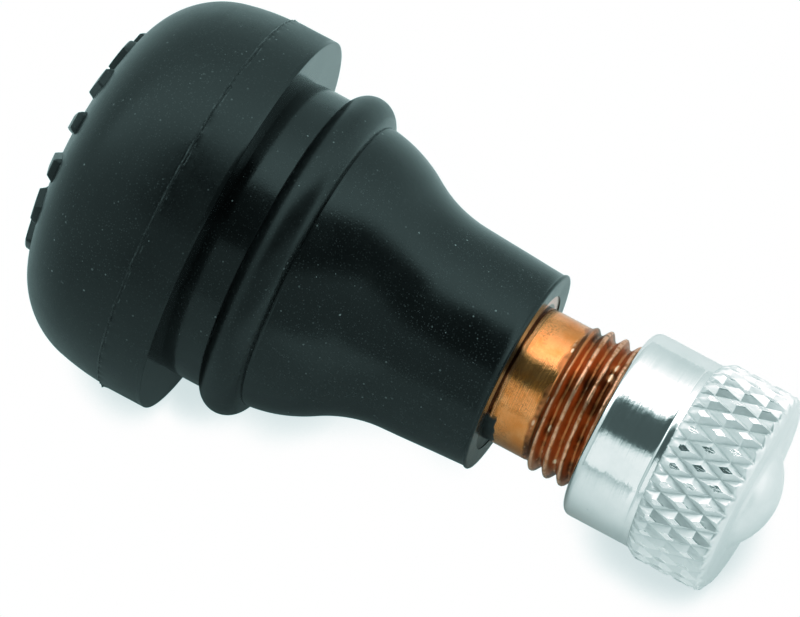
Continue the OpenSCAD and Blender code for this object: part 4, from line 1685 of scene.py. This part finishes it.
@dataclass
class StudioLight:
    """Soft light from all round, brightest just above a dark gap over the camera, and a pale card."""

    low: float = 0.34
    high: float = 0.58
    front_lift: float = 0.22
    peak: float = 1.02
    peak_angle: float = 48.0
    peak_spread: float = 36.0
    gap: float = 0.085
    gap_low: float = -10.0
    gap_high: float = 39.0
    gap_slant: float = 24.0
    soft: float = 5.0
    back_reach: float = -0.54
    front_reach: float = 0.92
    reach_soft: float = 0.10
    rear_span: Span = (-0.59, -0.34)
    front_span: Span = (0.1, 0.6)
    front_angles: Span = (40.0, 100.0)
    card_level: float = 0.46
    card_angle: float = -34.0
    card_x: float = 24.0
    card_distance: float = 80.0
    card_size: Span = (62.0, 64.0)

    def build(self, camera: StudioCamera) -> Piece:
        """Builds the world's light and hangs the card.

        Args:
            camera: The camera, from whose directions the light is set out.

        Returns:
            The card.
        """
        card = self.hang_card(camera)
        world = bpy.data.worlds.new("studio")
        bpy.context.scene.world = world
        world.use_nodes = True
        bench = NodeBench(world.node_tree)
        ray = bench.add("ShaderNodeTexCoord").outputs["Generated"]
        over, toward, along = (bench.vector("DOT_PRODUCT", ray, tuple(way)).outputs["Value"]
                               for way in (camera.across, camera.back, camera.along))
        angle = bench.times(bench.math("ARCTAN2", over, toward), math.degrees(1.0))
        lit = bench.minus(1.0, self.darkness(bench, angle, along))
        even = bench.ramp(angle, self.gap_low, self.gap_high, self.low, self.high)
        even = bench.most(even, bench.ramp(along, *self.rear_span, self.high, self.low))
        ahead = bench.times(bench.ramp(along, *self.front_span), bench.ramp(angle, *self.front_angles))
        even = bench.plus(even, bench.times(ahead, self.front_lift))
        even = bench.plus(bench.times(even, lit), self.gap)
        away = bench.math("DIVIDE", bench.minus(angle, self.peak_angle), self.peak_spread)
        glow = bench.math("EXPONENT", bench.times(bench.times(away, away), -1.0))
        glow = bench.times(bench.times(glow, lit), self.peak)
        glow, plain = (bench.add("ShaderNodeBackground", None, Color=(*WHITE, 1.0), Strength=level).outputs[0]
                       for level in (bench.plus(even, glow), 1.0))
        seen = bench.add("ShaderNodeLightPath").outputs["Is Camera Ray"]
        mixed = bench.add("ShaderNodeMixShader", None, i0=seen, i1=glow, i2=plain)
        bench.add("ShaderNodeOutputWorld", None, Surface=mixed.outputs[0])
        return card

    def darkness(self, bench: NodeBench, angle: Socket, along: Socket) -> Socket:
        """Share of the dark gap: full between two angles that climb along the valve, and faded at both ends.

        Args:
            bench: Bench of the world's node tree.
            angle: Angle of a ray round the valve's line in the picture, in degrees.
            along: Share of a ray that runs along that line.

        Returns:
            0 in the light and 1 in the gap.
        """
        soft, end = self.soft, self.reach_soft
        angle = bench.minus(angle, bench.times(along, self.gap_slant))
        inside = bench.times(bench.ramp(angle, self.gap_low - soft, self.gap_low + soft),
                             bench.ramp(angle, self.gap_high - soft, self.gap_high + soft, 1.0, 0.0))
        near = bench.times(bench.ramp(along, self.back_reach - end, self.back_reach + end),
                           bench.ramp(along, self.front_reach - end, self.front_reach + end, 1.0, 0.0))
        return bench.times(inside, near)

    def hang_card(self, camera: StudioCamera) -> Piece:
        """Hangs a pale oblong beside the cap, low on the camera's side, facing the valve.

        Args:
            camera: The camera, from whose directions the card is placed.

        Returns:
            The card, an area light.
        """
        turn = math.radians(self.card_angle)
        out = camera.back * math.cos(turn) + camera.across * math.sin(turn)
        data = bpy.data.lights.new("pale_card", "AREA")
        data.shape = "RECTANGLE"
        data.size, data.size_y = (side * MM for side in self.card_size)
        data.energy = self.card_level * math.pi * data.size * data.size_y
        card = bpy.data.objects.new("pale_card", data)
        side = camera.along
        place = Matrix((side, out.cross(side), out)).transposed().to_4x4()
        middle = Vector((self.card_x, 0.0, 0.0)) + out * self.card_distance
        card.matrix_world = Matrix.Translation(middle * MM) @ place
        card.visible_camera = False
        bpy.context.scene.collection.objects.link(card)
        return card

    @staticmethod
    def limit_card(card: Piece, lit: Sequence[Piece]) -> None:
        """Keeps the card's light to some pieces.

        Args:
            card: The card.
            lit: The pieces that it lights.
        """
        group = bpy.data.collections.new("card_lit")
        for piece in lit:
            group.objects.link(piece)
        card.light_linking.receiver_collection = group


@dataclass(frozen=True)
class PrintTone:
    """The cool tone of a printed picture: red falls behind green and blue, most in the darker tones."""

    red: tuple[Span, ...] = ((0.072, 0.047), (0.195, 0.133), (0.376, 0.283), (0.552, 0.440), (0.760, 0.665),
                             (0.955, 0.920))

    def apply(self) -> None:
        """Bends the red curve of the scene's view, from (light in, light out) points."""
        view = bpy.context.scene.view_settings
        view.view_transform = "Standard"
        view.use_curve_mapping = True
        for place, level in self.red:
            view.curve_mapping.curves[0].points.new(place, level)
        view.curve_mapping.update()


def main() -> None:
    """Loads the frame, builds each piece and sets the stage."""
    logging.basicConfig(level=logging.INFO, format="%(message)s")
    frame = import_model()
    camera = StudioCamera()
    camera.build()
    low_side = -camera.across
    stem = BrassStem()
    rubber = RubberBody(stem, (low_side.y, low_side.z))
    cap = DomeCap(stem)
    table = Table(rubber.flange_r).build(camera)
    light = StudioLight()
    card = light.build(camera)
    PrintTone().apply()

    effects = SurfaceEffects()
    brass = stem.build(StemFinish(stem, rubber.sleeve_len).material(effects, low_side))
    rubber.build(RubberFinish(rubber).material(effects))
    metal = cap.build(CapFinish(cap).material(effects))
    light.limit_card(card, [brass, metal, table])
    wire = CoreMetalFinish("spring_wire", bright=(0.60, 0.60, 0.61), stain=(0.42, 0.41, 0.40), roughness=0.3)
    CoreSpring().build(wire.material(effects))

    core_brass = CoreMetalFinish("core_brass", bright=(0.78, 0.56, 0.22), stain=(0.50, 0.32, 0.12))
    red_seal = SealFinish("red_seal", dark=(0.26, 0.035, 0.02), light=(0.36, 0.07, 0.045))
    black_seal = SealFinish("black_seal", dark=(0.012, 0.012, 0.013), light=(0.03, 0.031, 0.033))
    finishes = {core_brass: ["core_plug", "core_barrel", "core_pin", "pin_cup"], red_seal: ["barrel_seal"],
                black_seal: ["cup_seal", "cap_seal"]}
    for finish, names in finishes.items():
        material = finish.material(effects)
        for name in names:
            dress_node(frame["nodes"][name], material)


if __name__ == "__main__":
    main()
